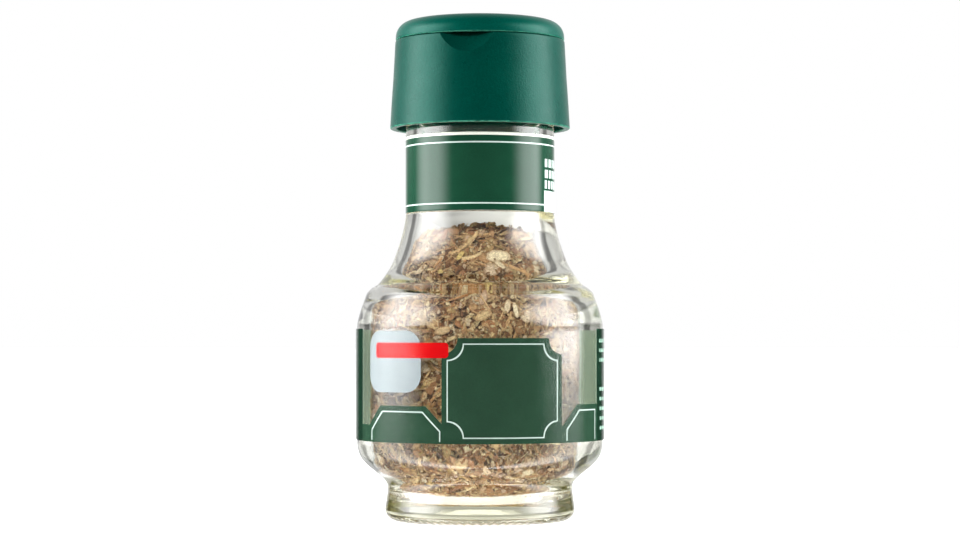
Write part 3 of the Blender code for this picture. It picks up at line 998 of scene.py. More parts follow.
def scatterTree():
    # strews bits over a skin, each sunk, turned, tilted and sized at random
    tree, given = newGeometryTree("strewn bits", {
        "Bits": "Collection", "Kinds": "Int", "Density": "Float", "Smallest": "Float", "Largest": "Float",
        "Tilt": "Float", "Swing": "Float", "Sink": "Float", "Seed": "Int", "Material": "Material"})
    spread = addNode(tree, "GeometryNodeDistributePointsOnFaces", {
        "Mesh": given["Geometry"], "Density": given["Density"], "Seed": given["Seed"]}).outputs
    sockets = {"FLOAT_VECTOR": (0, 1, 0), "FLOAT": (2, 3, 1), "INT": (4, 5, 2)}  # least, most and the result

    def draw(kind, low, high, step):
        least, most, result = sockets[kind]
        values = {least: low, most: high, "Seed": maths(tree, "ADD", given["Seed"], step)}
        return addNode(tree, "FunctionNodeRandomValue", values, data_type=kind).outputs[result]

    def store(points, name, value):
        values = {"Geometry": points, "Name": name, "Value": value}
        return addNode(tree, "GeometryNodeStoreNamedAttribute", values, data_type="FLOAT",
                       domain="POINT").outputs[0]

    depth = draw("FLOAT", 0.0, 1.0, 1)
    down = scaled(tree, spread["Normal"], product(tree, depth, given["Sink"], -1.0))
    points = store(moved(tree, spread["Points"], down), "depth", depth)
    points = store(points, "tone", draw("FLOAT", 0.0, 1.0, 2))
    bits = addNode(tree, "GeometryNodeCollectionInfo", {
        "Collection": given["Bits"], "Separate Children": True, "Reset Children": True}).outputs[0]
    size = maths(tree, "POWER", draw("FLOAT", 0.0, 1.0, 3), 1.3)
    size = addNode(tree, "ShaderNodeMapRange", {
        "Value": size, "To Min": given["Smallest"], "To Max": given["Largest"]}).outputs["Result"]
    shape = draw("FLOAT_VECTOR", (0.85, 0.75, 0.8), (1.15, 1.3, 1.3), 4)
    level = vectorMaths(tree, "CROSS_PRODUCT", (0, 0, 1), spread["Normal"])
    facing = addNode(tree, "FunctionNodeAlignRotationToVector", {"Vector": spread["Normal"]}, axis="Z")
    lying = addNode(tree, "FunctionNodeAlignRotationToVector", {
        "Rotation": facing.outputs[0], "Vector": level}, axis="X", pivot_axis="Z")
    strewn = addNode(tree, "GeometryNodeInstanceOnPoints", {
        "Points": points, "Instance": bits, "Pick Instance": True,
        "Instance Index": draw("INT", 0, maths(tree, "SUBTRACT", given["Kinds"], 1), 5),
        "Rotation": lying.outputs[0], "Scale": scaled(tree, shape, size)}).outputs[0]
    lean = addNode(tree, "ShaderNodeCombineXYZ", {0: given["Tilt"], 1: given["Tilt"], 2: given["Swing"]})
    turn = vectorMaths(tree, "MULTIPLY", draw("FLOAT_VECTOR", (-1, -1, -1), (1, 1, 1), 6), lean.outputs[0])
    turned = addNode(tree, "GeometryNodeRotateInstances", {
        "Instances": strewn, "Rotation": turn, "Local Space": True}).outputs[0]
    endTree(tree, turned, given["Material"])
    return tree


def pressInside(mesh):
    # a bit that would poke through the wall moves in as it is, and what still does lies against the wall
    places = readPlaces(mesh)
    depth = np.empty(len(places))
    mesh.attributes["depth"].data.foreach_get("value", depth)
    places[:, 2] = np.maximum(places[:, 2], (jar["floor"] + 0.2 + 0.4 * depth) * mm)
    most = (insideRadius(places[:, 2] / mm) - sage["gap"] - sage["loosest"] * depth) * mm
    firsts = np.concatenate(([0], np.flatnonzero(np.diff(depth)) + 1))
    bit = np.zeros(len(places), dtype=int)
    bit[firsts[1:]] = 1
    bit = np.cumsum(bit)
    out = np.hypot(places[:, 0], places[:, 1]) - most
    out = np.maximum(np.maximum.reduceat(out, firsts), 0.0)
    middles = np.add.reduceat(places[:, :2], firsts)
    middles /= np.maximum(np.linalg.norm(middles, axis=1), 1e-9)[:, None]
    places[:, :2] -= (middles * out[:, None])[bit]
    squeeze = np.minimum(1.0, most / np.maximum(np.hypot(places[:, 0], places[:, 1]), 1e-9))
    places[:, :2] *= squeeze[:, None]
    writePlaces(mesh, places)


strewing = scatterTree()
leafMat = sageMaterial("rubbed sage leaf", leafTones, veined=True)
crumbMat = sageMaterial("sage crumbs", crumbTones)
stalkMat = sageMaterial("sage stalks", stalkTones)
coreMat = sageMaterial("packed sage dust", coreShadeTones)
strewn = {
    "sageDust": {"bits": "crumbs", "mat": crumbMat, "perSquareMm": 1.0, "sizes": (0.5, 1.4), "tilt": 180,
                 "swing": 180, "sink": 1.5},
    "sageDeepLeaf": {"bits": "leaf", "mat": leafMat, "perSquareMm": 0.5, "sizes": (1.7, 4.0), "tilt": 50,
                     "swing": 180, "sink": 1.5},
    "sageFibres": {"bits": "fibres", "mat": stalkMat, "perSquareMm": 0.35, "sizes": (0.8, 2.6), "tilt": 28,
                   "swing": 100, "sink": 1.0},
    "sageNearLeaf": {"bits": "leaf", "mat": leafMat, "perSquareMm": 0.5, "sizes": (1.2, 3.9), "tilt": 34,
                     "swing": 130, "sink": 0.8},
    "sageCrumbs": {"bits": "crumbs", "mat": crumbMat, "perSquareMm": 0.9, "sizes": (0.25, 0.85), "tilt": 180,
                   "swing": 180, "sink": 0.7},
    "sageStalks": {"bits": "stalks", "mat": stalkMat, "perSquareMm": 0.13, "sizes": (2.4, 7.5), "tilt": 16,
                   "swing": 70, "sink": 0.8},
}
# Chosen bits that lie where the picture shows them: degrees round from the camera, height, length, width,
# turn in degrees, tone.
chosenFlakes = [
    (17.7, 52.8, 5.0, 2.9, -4, 0.84), (18.0, 51.0, 3.0, 1.1, -42, 0.83), (14.0, 57.2, 2.2, 1.3, 70, 0.7),
    (-5.2, 56.0, 2.1, 1.1, 85, 0.6), (-12.5, 53.0, 2.6, 1.0, 55, 0.96), (-26.0, 49.5, 1.3, 1.0, 10, 0.96),
    (16.3, 42.9, 2.9, 1.3, 80, 0.82), (20.6, 42.2, 3.3, 1.0, -76, 0.84), (3.8, 41.2, 3.6, 1.7, 25, 0.6),
    (4.0, 44.6, 3.0, 1.5, 72, 0.89), (-17.0, 38.6, 3.4, 1.6, 14, 0.64), (-24.0, 33.5, 3.6, 1.5, 22, 0.82),
    (30.0, 11.8, 2.6, 1.5, 12, 0.84), (-8.0, 13.0, 3.0, 2.0, 30, 0.64),
]
chosenTwigs = [
    (-3.5, 53.0, 3.9, 1.15, 19, 0.75), (-19.5, 55.9, 3.0, 0.28, -62, 0.1), (-26.0, 54.4, 4.0, 0.26, 17, 0.15),
    (-12.2, 44.4, 5.4, 0.3, 20, 0.2), (5.1, 43.6, 3.5, 0.32, -57, 0.6), (25.4, 8.9, 4.1, 0.3, 2, 0.8),
    (14.5, 8.6, 3.6, 0.26, 3, 0.25), (-3.0, 12.6, 3.6, 0.28, 57, 0.6), (-31.0, 45.6, 4.6, 0.25, -14, 0.2),
]


def placed(bm, degrees, height, length, width, turn):
    # lays a shape one unit long against the glass, or on the heap above it
    angle = math.radians(cameraSide + degrees)
    out = Vector((math.cos(angle), math.sin(angle), 0))
    side = Vector((-math.sin(angle), math.cos(angle), 0))
    lean = math.radians(turn)
    along = side * math.cos(lean) + Vector((0, 0, math.sin(lean)))
    over = out.cross(along)
    heap = sage["heap"]
    radius = float(insideRadius(height)) - sage["shownGap"]
    if height > heap[0][1]:
        radius = float(np.interp(height, [z for r, z in heap], [r for r, z in heap])) + 0.2
    top = max(v.co.z for v in bm.verts)
    for v in bm.verts:
        point = along * v.co.x * length + over * v.co.y * width
        point += out * ((v.co.z - top) * 0.5 * (length + width) + radius)
        v.co = (point + Vector((0, 0, height))) * mm


def chosenPiece(name, rows, shape, mat):
    whole = bmesh.new()
    tones = []
    for *place, tone in rows:
        bm = shape()
        placed(bm, *place)
        tones += [tone] * addShape(whole, bm)
    piece = makeObject(name, whole, [mat], sharp=50, recalculate=False)
    setTones(piece, tones)
    return piece


def makeSage():
    rng = random.Random(sage["seed"])
    sets = {
        "leaf": bitCollection("leafBit", [flake(rng, rng.uniform(0.45, 0.95), rng.uniform(-0.8, 1.2))
                                          for _ in range(14)] + [curledBit(rng) for _ in range(3)]),
        "crumbs": bitCollection("crumbBit", [crumb(rng) for _ in range(6)]),
        "fibres": bitCollection("fibreBit", [stalk(rng, 0.04, 3, 0.2) for _ in range(6)]),
        "stalks": bitCollection("stalkBit", [stalk(rng, rng.uniform(0.04, 0.075)) for _ in range(6)]),
    }
    pieces = [sageCore(coreMat)]
    for step, (name, plan) in enumerate(strewn.items()):
        piece = makeObject(name, lathe(sageSkin(), sage["sides"]))
        bits = sets[plan["bits"]]
        runTree(piece, strewing, {
            "Bits": bits, "Kinds": len(bits.objects), "Density": plan["perSquareMm"] / (mm * mm),
            "Smallest": plan["sizes"][0] * mm, "Largest": plan["sizes"][1] * mm,
            "Tilt": math.radians(plan["tilt"]), "Swing": math.radians(plan["swing"]),
            "Sink": plan["sink"] * mm, "Seed": sage["seed"] + 20 * step, "Material": plan["mat"]})
        pressInside(piece.data)
        shadeSmooth(piece.data, 35)
        pieces.append(piece)
        triangles = sum(len(face.vertices) - 2 for face in piece.data.polygons)
        tell(f"{name}: {triangles} triangles")
    pieces.append(chosenPiece("sageShownLeaf", chosenFlakes, lambda: flake(rng, 1.0, 0.12, 16, 0.1), leafMat))
    pieces.append(chosenPiece("sageShownTwigs", chosenTwigs, lambda: stalk(rng, 0.5, 6, 0.3), stalkMat))
    for group in sets.values():
        for bit in list(group.objects):
            bpy.data.objects.remove(bit, do_unlink=True)
        bpy.data.collections.remove(group)
    for piece in pieces:
        shiftInside(piece.data)
        settle(piece, "jar", "dried_sage", "sage_fill")


makeSage()
tell("dried sage")


# Sleeve labels

label = {
    "green": (21, 60, 43),
    "bellyGreen": (38, 63, 48),
    "panelGreen": (20, 43, 31),
    "white": (190, 206, 200),
    "faint": (140, 174, 158),
    "pale": (138, 147, 150),
    "red": (186, 14, 18),
    "backing": (166, 188, 172),
    "hem": (224, 228, 216),
    "lining": (222, 214, 194),
    "film": 0.25,  # from the print's wall to the film's outside
}
bellyLow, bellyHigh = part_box("body_label")
bellyBottom, bellyTop = bellyLow[2] / mm, bellyHigh[2] / mm
bellyRadius = bellyHigh[0] / mm - label["film"]
neckLow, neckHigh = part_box("neck_label")


def inkMaterial(name, shade, roughness=0.5, shine=0.0, glow=0.0):
    base = colour(*shade)
    # a glow gives the print painted light of its own colour, though it is no lamp
    mat, tree, shader = newMaterial(name, Roughness=roughness, SpecularIORLevel=shine, EmissionColor=base,
                                    EmissionStrength=glow)
    darker = tuple(0.9 * part for part in base[:3]) + (1.0,)
    patches = ramp(tree, grain(tree, 6.0, 4.0), [(0.35, darker), (0.65, base)])
    dots = grain(tree, 0.28, 2.0)
    dots = mottled(tree, patches, dots, (0.35, (0.94, 0.94, 0.94)), (0.65, (1.04, 1.04, 1.04)))
    feed(tree, shader.inputs["Base Color"], dots)
    addBump(tree, shader, grain(tree, 0.5, 3.0), 0.002)
    return mat


def filmMaterial():
    # a film too thin to bend light: it only shines
    mat = bpy.data.materials.new("clear film")
    mat.use_nodes = True
    tree = mat.node_tree
    tree.nodes.remove(tree.nodes["Principled BSDF"])
    ripple = addNode(tree, "ShaderNodeBump", {"Height": grain(tree, 5.0, 2.0), "Distance": 0.02 * mm})
    shine = addNode(tree, "ShaderNodeBsdfGlossy", {
        "Color": (1, 1, 1, 1), "Roughness": 0.12, "Normal": ripple.outputs[0]})
    clear = addNode(tree, "ShaderNodeBsdfTransparent", {"Color": (0.985, 0.985, 0.985, 1)})
    mirror = addNode(tree, "ShaderNodeFresnel", {"IOR": 1.26}).outputs[0]
    front = maths(tree, "SUBTRACT", 1.0, addNode(tree, "ShaderNodeNewGeometry").outputs["Backfacing"])
    mixed = addNode(tree, "ShaderNodeMixShader", {
        0: product(tree, mirror, front), 1: clear.outputs[0], 2: shine.outputs[0]})
    feed(tree, tree.nodes["Material Output"].inputs["Surface"], mixed.outputs[0])
    return mat


greenInk = inkMaterial("dark green print", label["bellyGreen"])
# the panel's copy of the dark green print is darker than the front's: painted shade on the sides, which turn
# from the light
panelInk = inkMaterial("dark green panel print", label["panelGreen"])
whiteInk = inkMaterial("white print", label["white"])
faintInk = inkMaterial("faint print", label["faint"])
paleInk = inkMaterial("pale print", label["pale"])
redInk = inkMaterial("red print", label["red"])
# the backing gives off painted light, standing in for the light that comes into the wall from the front
backing = inkMaterial("pale backing", label["backing"], glow=0.6)
film = filmMaterial()


# Printed shapes are drawn on the flat sleeve: millimetres to the right of the side that faces the camera,
# and millimetres up from its lower edge.
corners = ((1, 1), (-1, 1), (-1, -1), (1, -1))


def roundedBox(x, z, wide, tall, corner, steps=6):
    points = []
    for turn, (sx, sz) in enumerate(corners):
        centre = (x + sx * (wide / 2 - corner), z + sz * (tall / 2 - corner))
        points += arc(centre, corner, 90 * turn, 90 * turn + 90, steps)
    return points


def ticket(x, z, wide, tall, bite):
    # an upright plaque whose corners are bitten out by quarter circles
    points = []
    for turn, (sx, sz) in enumerate(corners):
        centre = (x + sx * wide / 2, z + sz * tall / 2)
        points += arc(centre, bite, 90 * turn + 270, 90 * turn + 180, 8)
    return points


def wrap(bm, radius, low, high):
    # lays a flat drawing round the sleeve as a closed sheet between two heights above its wall
    for start in np.arange(-200, 200, belly["facet"]):
        edges = [v.co.x for v in bm.verts]
        if min(edges) < start < max(edges):
            bmesh.ops.bisect_plane(bm, geom=bm.verts[:] + bm.edges[:] + bm.faces[:], plane_co=(start, 0, 0),
                                   plane_no=(1, 0, 0), dist=1e-5)
    raised = bmesh.ops.extrude_face_region(bm, geom=bm.faces[:])
    for item in raised["geom"]:
        if isinstance(item, bmesh.types.BMVert):
            item.co.y = 1
    for v in bm.verts:
        angle = math.radians(cameraSide) + v.co.x / radius
        reach = (radius + (high if v.co.y > 0.5 else low)) * mm
        v.co = Vector((reach * math.cos(angle), reach * math.sin(angle), (v.co.z + bellyBottom) * mm))


def drawShape(bm, outer, inner=None):
    # fills an outline, or only the line between two
    rows = [[bm.verts.new((x, 0, z)) for x, z in outline] for outline in (outer, inner) if outline]
    if inner is None:
        bmesh.ops.triangulate(bm, faces=[bm.faces.new(rows[0])])
        return
    for i in range(len(outer)):
        j = (i + 1) % len(outer)
        bm.faces.new((rows[0][i], rows[0][j], rows[1][j], rows[1][i]))


def printOn(name, mat, shapes, layer):
    # every shape is its own closed sheet, so that none shares an edge with the next
    whole = bmesh.new()
    for step, outlines in enumerate(shapes):
        bm = bmesh.new()
        drawShape(bm, *outlines)
        wrap(bm, bellyRadius, *(edge + belly["sheetStep"] * step for edge in belly["layers"][layer]))
        bmesh.ops.recalc_face_normals(bm, faces=bm.faces)
        addShape(whole, bm)
    piece = makeObject(name, whole, [mat], sharp=30, recalculate=False)
    settle(piece, "jar", "printed_film", "body_label")


belly = {
    "plaque": {"x": 4.9, "wide": 25.0, "top": 20.6, "bite": 3.2},
    "line": 0.22,  # width of a white line
    "lineInset": 1.05,
    "leftTab": {"x": -16.8, "wide": 20.0, "tall": 7.3, "step": 4.2},
    "rightTab": {"x": 26.6, "wide": 18.0, "tall": 7.5, "step": 4.2},
    "base": 3.4,
    "tag": {"x": -19.2, "z": 16.0, "wide": 14.4, "tall": 12.2, "corner": 3.4},
    "bar": {"x": -15.1, "z": 18.2, "wide": 17.8, "tall": 3.0, "corner": 0.7},
    "rows": {"from": 71.5, "long": (5.5, 9.5), "tall": 0.75, "step": 1.95, "count": 10, "blank": (3, 4)},
    # the line round the panel: how far in it lies, and the roundings of its outer and inner edge
    "frame": {"sides": 16, "ends": 2, "corners": (1.2, 1.0)},
    "facet": 0.9,  # how long the straight bits of a sheet that goes round are
    "sheetStep": 0.003,  # how much higher each shape of a print lies than the one before
    # heights above the wall between which the prints' sheets lie
    "layers": {"backing": (0.0, 0.02), "tag": (0.02, 0.04), "green": (0.03, 0.06), "bar": (0.045, 0.07),
               "lines": (0.06, 0.08)},
    "backFrom": 67.9,  # degrees round from the camera to the panel's right edge, and on to its left edge
    "backTo": 291.3,
}


def arcLength(degrees):
    return math.radians(degrees) * bellyRadius


def tabShape(plan, inset=0.0):
    # a low tab whose upper corners are cut off, standing on the base band, up to the panel's edge
    half = plan["wide"] / 2 - inset
    most = arcLength(belly["backFrom"]) - inset
    top = plan["tall"] - inset
    step = plan["step"] - 0.4 * inset
    left, right = plan["x"] - half, plan["x"] + half
    shape = [(left, 0.4), (right, 0.4), (right, top - step), (right - step, top), (left + step, top),
             (left, top - step)]
    shape = [(min(x, most), z) for x, z in shape]
    neighbours = zip(shape[-1:] + shape, shape, shape[1:] + shape[:1])
    return [here for before, here, after in neighbours if not before[0] == here[0] == after[0]]


def dashRows(high):
    # ragged rows of plain dashes down one end of the panel
    rows = belly["rows"]
    rng = random.Random(rows["count"])
    dashes = []
    for i in range(rows["count"]):
        if i in rows["blank"]:
            continue
        height = high - 2.4 - rows["step"] * i
        at = arcLength(rows["from"])
        ends = at + rng.uniform(*rows["long"])
        while at < ends:
            long = rng.uniform(0.7, 2.0)
            dashes.append([roundedBox(at + long / 2, height, long, rows["tall"], 0.2, 2)])
            at += long + 0.4
    return dashes


def makeBellyLabel():
    high = bellyTop - bellyBottom
    plaque, frame, tabs = belly["plaque"], belly["frame"], [belly["leftTab"], belly["rightTab"]]
    start, end = arcLength(belly["backFrom"]), arcLength(belly["backTo"])
    before = arcLength(belly["backTo"] - 360)
    middle = (start + end) / 2
    back = roundedBox(middle, high / 2, end - start, high, 0.2, 2)
    front = roundedBox((before + start) / 2, belly["base"] / 2, start - before, belly["base"], 0.05, 1)

    def plaqueLine(inset):
        return ticket(plaque["x"], plaque["top"] / 2, plaque["wide"] - 2 * inset, plaque["top"] - 2 * inset,
                      plaque["bite"])

    def frameLine(inset, corner):
        sides, ends = frame["sides"] + inset, frame["ends"] + inset
        return roundedBox(middle, high / 2, end - start - 2 * sides, high - 2 * ends, corner)

    green = [[back], [front], [plaqueLine(0)]] + [[tabShape(tab)] for tab in tabs]
    inset, wide = belly["lineInset"], belly["line"]
    lines = [(plaqueLine(inset), plaqueLine(inset + wide))]
    lines += [(tabShape(tab, inset), tabShape(tab, inset + wide)) for tab in tabs]
    lines += [tuple(frameLine(*edge) for edge in zip((0, wide), frame["corners"]))]
    printOn("bellyBacking", backing, green, "backing")
    printOn("bellyGreen", greenInk, green[1:], "green")
    printOn("bellyPanel", panelInk, green[:1], "green")
    printOn("bellyWhite", whiteInk, lines, "lines")
    printOn("bellyDashes", faintInk, dashRows(high), "lines")
    printOn("bellyTag", paleInk, [[roundedBox(**belly["tag"])]], "tag")
    printOn("bellyBar", redInk, [[roundedBox(**belly["bar"])]], "bar")
    outer = bellyRadius + label["film"]
    sleeve = [(outer - 0.1, bellyBottom), (outer, bellyBottom), (outer, bellyTop), (outer - 0.1, bellyTop)]
    piece = makeObject("bellyFilm", lathe(sleeve, 240, closed=True), [film])
    settle(piece, "jar", "printed_film", "body_label")


makeBellyLabel()

neck = {
    "stripes": (64.0, 76.2),  # heights of the two pinstripes
    "stripe": 0.28,
    "hem": 0.62,  # the sleeve's unprinted edge above the band
    "patch": {"from": 58.0, "to": 104.0, "top": 66.9},  # degrees round from the camera
    "dashes": {"heights": (68.15, 70.3, 72.5), "tall": 1.65, "long": (2.5, 6.0), "apart": 2.2},
    "sides": 240,
    "inset": 0.03,  # from the CAD's outside to the sleeve's
    "thick": 0.22,
    "print": (0.05, 0.015),  # how deep the print goes, and how far it stands out
}


def neckSpans(low):
    # each is where it starts round from the camera, how far it goes, its foot and its top
    patch, dashes = neck["patch"], neck["dashes"]
    wide = patch["to"] - patch["from"]
    half = neck["stripe"] / 2
    lower, upper = neck["stripes"]
    spans = [(patch["to"], 360 - wide, lower - half, lower + half),
             (patch["to"] - 180, 360, upper - half, upper + half),
             (patch["from"], wide, low, patch["top"])]
    rng = random.Random(len(dashes["heights"]))
    for height in dashes["heights"]:
        at = patch["from"] + 1.0
        while at < patch["to"] - dashes["long"][1]:
            turn = rng.uniform(*dashes["long"])
            spans.append((at, turn, height - dashes["tall"] / 2, height + dashes["tall"] / 2))
            at += turn + dashes["apart"]
    return spans


def makeNeckLabel():
    low, high = neckLow[2] / mm, neckHigh[2] / mm
    outer = neckHigh[0] / mm - neck["inset"]
    inner = outer - neck["thick"]
    band = inkMaterial("dark green neck print", label["green"], 0.12, 0.2)
    white = inkMaterial("white neck print", label["white"], 0.12, 0.2)
    # the sleeve's clear edge is painted whitish: a painted highlight where the film's edge catches the light
    clear = inkMaterial("unprinted sleeve edge", label["hem"], 0.3, 0.5)
    # the lining gives off a little painted light, standing in for light that comes through the sleeve into
    # the neck
    lining = inkMaterial("neck sleeve lining", label["lining"], 0.6, 0.2, 0.2)
    # the points just inside the two edges keep the roundings' shading off the long wall
    line = filleted([(inner, low + 1, 0), (inner, low, 0.05), (outer, low, 0.08), (outer, low + 0.35, 0),
                     (outer, high - 0.35, 0), (outer, high, 0.08), (inner, high, 0.05),
                     (inner, high - 1, 0)], 3)
    sleeve = makeObject("neckBand", lathe(line, neck["sides"], closed=True), [band, lining])
    for face in sleeve.data.polygons:
        if face.center.xy.length < (inner + 0.03) * mm:
            face.material_index = 1
    top = high + neck["hem"]
    line = filleted([(inner, high, 0), (outer - 0.02, high, 0), (outer - 0.05, top, 0.1), (inner, top, 0.05),
                     (inner, high, 0)], 3)[:-1]
    hem = makeObject("neckHem", lathe(line, neck["sides"], closed=True), [clear])
    bm = bmesh.new()
    deep, proud = neck["print"]
    under, over = outer - deep, outer + proud
    for first, turn, foot, tip in neckSpans(low):
        steps = max(2, round(turn / 1.5))
        rings = []
        for i in range(steps + 1):
            angle = math.radians(cameraSide + first + turn * i / steps)
            ring = [(under, foot), (over, foot), (over, tip), (under, tip)]
            rings.append([bm.verts.new(onCircle(radius, angle, height)) for radius, height in ring])
        skin(bm, rings, ends=turn < 360)
    for piece in (sleeve, hem, makeObject("neckPrint", bm, [white], sharp=30)):
        settle(piece, "jar", "printed_film", "neck_label")


makeNeckLabel()
tell("sleeve labels")


# Closure, lid, hinge and seal

closure = {
    "sides": 256,
    "bottom": 79.95,
    "top": 97.98,
    "skirt": [(18.43, 80.4), (18.1, 86.0), (17.82, 90.0), (17.6, 94.0), (17.42, 97.3)],
    "mouth": 17.1,
    "threadWall": 16.2,
    "deckBottom": 96.0,
    "deckTop": 97.4,
    "recess": 14.4,
    "holeRadius": 2.5,
    "holeCircle": 7.5,
    "holes": 6,
    "notchRadius": 20.0,
    "notchCentre": (32.9, 106.9),
    "notchSqueeze": 0.79,
}
lid = {
    "bottom": 98.06,
    "top": 102.0,
    "seam": 17.34,  # radius at the seam, and of the side above it
    "side": 17.3,
    "corner": 3.2,
    "wall": 16.1,
    "plate": 100.7,
    "ring": (13.2, 14.1),
    "peg": 2.2,
}
hinge = {
    "flat": 16.5,
    "recess": (96.5, 99.7),
    "halfRecess": 5.5,
    "web": (16.8, 17.05),
    "halfWidth": 3.6,
    "bend": 0.6,
}
seal = {"radii": (12.9, 14.8)}


def plasticMaterial(name, shades, edgeLow, glintHigh):
    # moulded green plastic with a fine spark texture, and a painted highlight: a paler line between two
    # heights, where the edge catches the light
    mat, tree, shader = newMaterial(name, Roughness=0.3, SpecularIORLevel=0.158, IOR=1.49,
                                    SpecularTint=(0.5, 1.0, 0.88, 1))
    base = toneRamp(tree, grain(tree, 9.0, 4.0), [(0.3, shades[0]), (0.7, shades[1])])
    height = split(tree, objectPlace(tree))["Z"]
    soft = 0.05 * mm
    above = fade(tree, height, edgeLow * mm - soft, edgeLow * mm + soft)
    below = fade(tree, height, glintHigh * mm - soft, glintHigh * mm + soft, 1.0, 0.0)
    brokenGlint = fade(tree, grain(tree, 1.2), 0.3, 0.6, 0.2, 1.0)
    # the paler green mixed in here is the painted highlight line, broken up by noise
    base = mixColours(tree, product(tree, above, below, brokenGlint), base, colour(52, 118, 98))
    specks = mottled(tree, base, grain(tree, 0.3, 2.0), (0.35, (0.86, 0.9, 0.88)), (0.65, (1.14, 1.12, 1.1)))
    feed(tree, shader.inputs["Base Color"], specks)
    feed(tree, shader.inputs["Roughness"], fade(tree, grain(tree, 3.0, 5.0), 0.3, 0.7, 0.27, 0.33))
    fine = maths(tree, "MULTIPLY_ADD", grain(tree, 1.4, 3.0), 0.5, grain(tree, 0.32, 2.0))
    addBump(tree, shader, fine, 0.035)
    return mat


def perforateTree():
    # punches a middle hole and a ring of holes through a deck
    tree, given = newGeometryTree("sprinkle holes", {
        "Hole Radius": "Float", "Hole Circle": "Float", "Holes": "Int", "Deck Middle": "Float",
        "Deck Depth": "Float", "Material": "Material"})
    ring = addNode(tree, "GeometryNodeMeshCircle", {
        "Vertices": given["Holes"], "Radius": given["Hole Circle"]}).outputs[0]
    step = maths(tree, "DIVIDE", math.tau, given["Holes"])
    half = addNode(tree, "ShaderNodeCombineXYZ", {2: product(tree, step, 0.5)}).outputs[0]
    ring = addNode(tree, "GeometryNodeTransform", {"Geometry": ring, "Rotation": half}).outputs[0]
    middle = addNode(tree, "GeometryNodeMeshLine", {"Count": 1}).outputs[0]
    places = addNode(tree, "GeometryNodeJoinGeometry")
    feed(tree, places.inputs[0], ring)
    feed(tree, places.inputs[0], middle)
    raised = addNode(tree, "ShaderNodeCombineXYZ", {2: given["Deck Middle"]}).outputs[0]
    points = moved(tree, places.outputs[0], raised)
    punch = addNode(tree, "GeometryNodeMeshCylinder", {
        "Vertices": 40, "Radius": given["Hole Radius"], "Depth": given["Deck Depth"]}).outputs[0]
    punches = addNode(tree, "GeometryNodeInstanceOnPoints", {"Points": points, "Instance": punch}).outputs[0]
    punches = addNode(tree, "GeometryNodeRealizeInstances", {0: punches}).outputs[0]
    cutOut = addNode(tree, "GeometryNodeMeshBoolean", {"Mesh 1": given["Geometry"], "Mesh 2": punches},
                     operation="DIFFERENCE", solver="EXACT")
    endTree(tree, cutOut.outputs[0], given["Material"])
    return tree


def closureOutline():
    bottom, top, wall, mouth, recess, deckBottom, deckTop = (
        closure[name] for name in ("bottom", "top", "threadWall", "mouth", "recess", "deckBottom", "deckTop"))
    line = filleted([(0, deckBottom, 0), (15.0, deckBottom, 0.3), (wall, 94.9, 0.4), (wall, 94.0, 0)])
    line += straight(wall, 93.0, 85.0, 30)
    line += filleted([(wall, 84.8, 0), (wall, 84.4, 0.2), (mouth, 83.5, 0.3), (mouth + 0.05, bottom, 0.25),
                      (18.46, bottom, 0.4), (18.43, 80.6, 0)], 5)[:-1]
    line += smoothThrough(closure["skirt"], 5)
    line += filleted([(*closure["skirt"][-1], 0), (17.37, top, 0.3), (recess, top, 0.2),
                      (recess, deckTop, 0.2), (8, deckTop, 0)], 5)[1:]
    return line + [(0, deckTop)]


def boxCutter():
    bm = bmesh.new()
    low = Vector((-hinge["halfRecess"], hinge["flat"], hinge["recess"][0]))
    high = Vector((hinge["halfRecess"], hinge["flat"] + 3, hinge["recess"][1]))
    size = Matrix.Diagonal((*(high - low), 1))
    place = Matrix.Scale(mm, 4) @ Matrix.Translation((low + high) / 2) @ size
    bmesh.ops.create_cube(bm, size=1, matrix=place)
    return makeObject("recess cutter", bm)


def notchCutter():
    away, height = closure["notchCentre"]
    bm = bmesh.new()
    place = Matrix.Translation(Vector((0, -away, height)) * mm)
    place = place @ Matrix.Diagonal((closure["notchSqueeze"], 1, 1, 1))
    radius = closure["notchRadius"] * mm
    bmesh.ops.create_uvsphere(bm, u_segments=128, v_segments=64, radius=radius, matrix=place)
    return makeObject("notch cutter", bm)


# each plastic's last two numbers are the heights of its painted highlight line: the skirt's foot, and the
# lid's lower edge
plastic = plasticMaterial("green closure plastic", [(0, 53, 45), (0, 57, 48)], 79.0, 80.22)
# the lid's copy of the same plastic is painted lighter than the closure's: painted light on the upper part
lidPlastic = plasticMaterial("green lid plastic", [(0, 63, 54), (0, 67, 57)], 98.0, 98.24)


def makeClosure():
    piece = makeObject("closureShell", lathe(closureOutline(), closure["sides"]), [plastic])
    walls = (closure["threadWall"] - 0.3, closure["threadWall"] + 0.3)
    runTree(piece, screwThread, threadValues(
        thread["closureTurn"], thread["closureTurns"], thread["closureHeight"], walls, plastic,
        thread["start"] - thread["lead"] / 2))
    deck = (closure["deckBottom"] + closure["deckTop"]) / 2
    through = 4 * mm
    runTree(piece, perforateTree(), {
        "Hole Radius": closure["holeRadius"] * mm, "Hole Circle": closure["holeCircle"] * mm,
        "Holes": closure["holes"], "Deck Middle": deck * mm, "Deck Depth": through, "Material": plastic})
    cut(piece, notchCutter())
    cut(piece, boxCutter())
    shadeSmooth(piece.data, 32)
    settle(piece, "closure", "green_plastic", "closure")


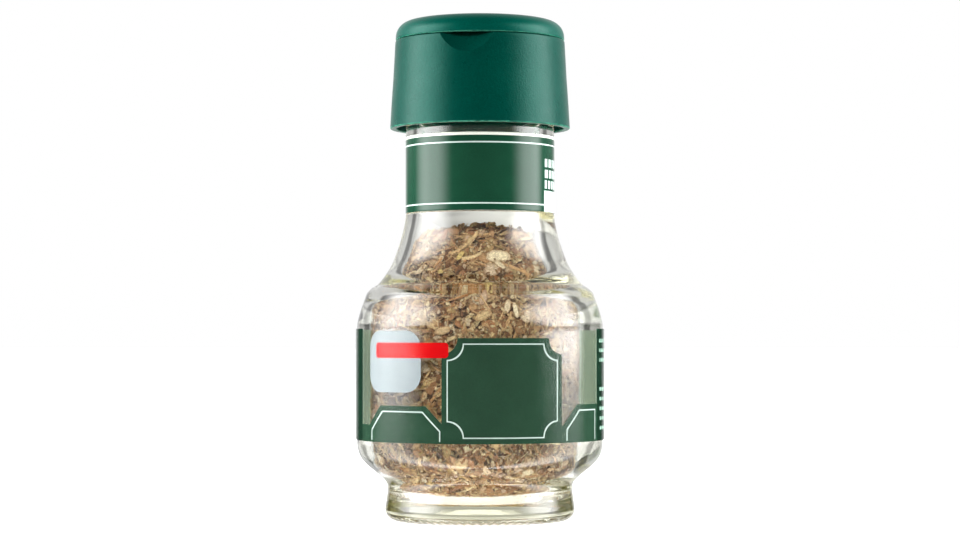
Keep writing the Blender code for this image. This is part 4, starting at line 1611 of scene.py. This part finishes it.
def makeLid():
    bottom, top, wall, plate, side = (lid[name] for name in ("bottom", "top", "wall", "plate", "side"))
    corner = (side - lid["corner"], top - lid["corner"])
    line = filleted([(0, plate, 0), (15.7, plate, 0.1), (wall, plate - 0.4, 0.1), (wall, bottom, 0.15),
                     (lid["seam"], bottom, 0.3), (side, corner[1], 0)], 4)[:-1]
    line += arc(corner, lid["corner"], 0, 90, 16)
    line += [(13.4, top), (13.0, top - 0.05), (12.4, top - 0.2), (8, top - 0.25), (1.0, top - 0.25),
             (0.8, top - 0.45), (0, top - 0.5)]
    piece = makeObject("lidShell", lathe(line, closure["sides"]), [lidPlastic])
    cut(piece, boxCutter())
    shadeSmooth(piece.data, 32)
    settle(piece, "lid", "green_plastic", "lid")
    inner, outer = lid["ring"]
    tip, root = closure["deckTop"] + 0.3, plate + 0.5
    collar = filleted([(inner, root, 0), (inner, tip, 0.15), (outer, tip, 0.3), (outer, root, 0)])
    pegLine = filleted([(0, tip - 0.7, 0), (lid["peg"], tip - 0.7, 0.4), (lid["peg"], root, 0), (0, root, 0)])
    count = closure["holes"]
    places = [around(360 * (i + 0.5) / count, closure["holeCircle"], 0) for i in range(count)]
    places.insert(0, Vector((0, 0, 0)))
    bm = lathe(collar, 160, closed=True)
    for place in places:
        peg = lathe(pegLine, 32)
        bmesh.ops.translate(peg, verts=peg.verts, vec=place)
        addShape(bm, peg)
    piece = makeObject("lidPegs", bm, [lidPlastic], sharp=32)
    settle(piece, "lid", "green_plastic", "lid")


def makeHinge():
    # the web's middle is thinned to a film where it bends
    inner, outer = hinge["web"]
    low, high = hinge["recess"][0] + 0.3, hinge["recess"][1] - 0.3
    middle = (low + high) / 2
    half = hinge["halfWidth"]
    rows = 28
    bm = bmesh.new()
    rings = []
    for i in range(rows + 1):
        height = low + (high - low) * i / rows
        thin = 0.09 * math.exp(-((height - middle) / 0.35) ** 2)
        ring = [(-half, inner + thin), (half, inner + thin), (half, outer - thin), (-half, outer - thin)]
        rings.append([bm.verts.new((x * mm, y * mm, height * mm)) for x, y in ring])
    skin(bm, rings)
    piece = makeObject("hingeWeb", bm, [plastic], sharp=32)
    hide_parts("hinge_web")
    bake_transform(piece)


def makeSeal():
    mat, tree, shader = newMaterial("white liner", Roughness=0.6)
    base = toneRamp(tree, grain(tree, 1.2, 4.0), [(0.35, (224, 222, 214)), (0.65, (240, 239, 233))])
    feed(tree, shader.inputs["Base Color"], base)
    addBump(tree, shader, grain(tree, 0.3, 3.0), 0.02)
    low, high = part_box("seal_ring")
    bottom, top = low[2] / mm, high[2] / mm
    inner, outer = seal["radii"]
    line = filleted([(inner, 95.4, 0), (inner, bottom, 0.15), (outer, bottom, 0.15), (outer, top, 0.15),
                     (inner, top, 0.15), (inner, 95.4, 0)], 4)[:-1]
    piece = makeObject("sealRing", lathe(line, 160, closed=True), [mat])
    settle(piece, "seal", "white_liner", "seal_ring")


makeClosure()
makeLid()
makeHinge()
makeSeal()
spareSage([fills["left"], fills["right"]])
tell("closure, lid, hinge and seal")
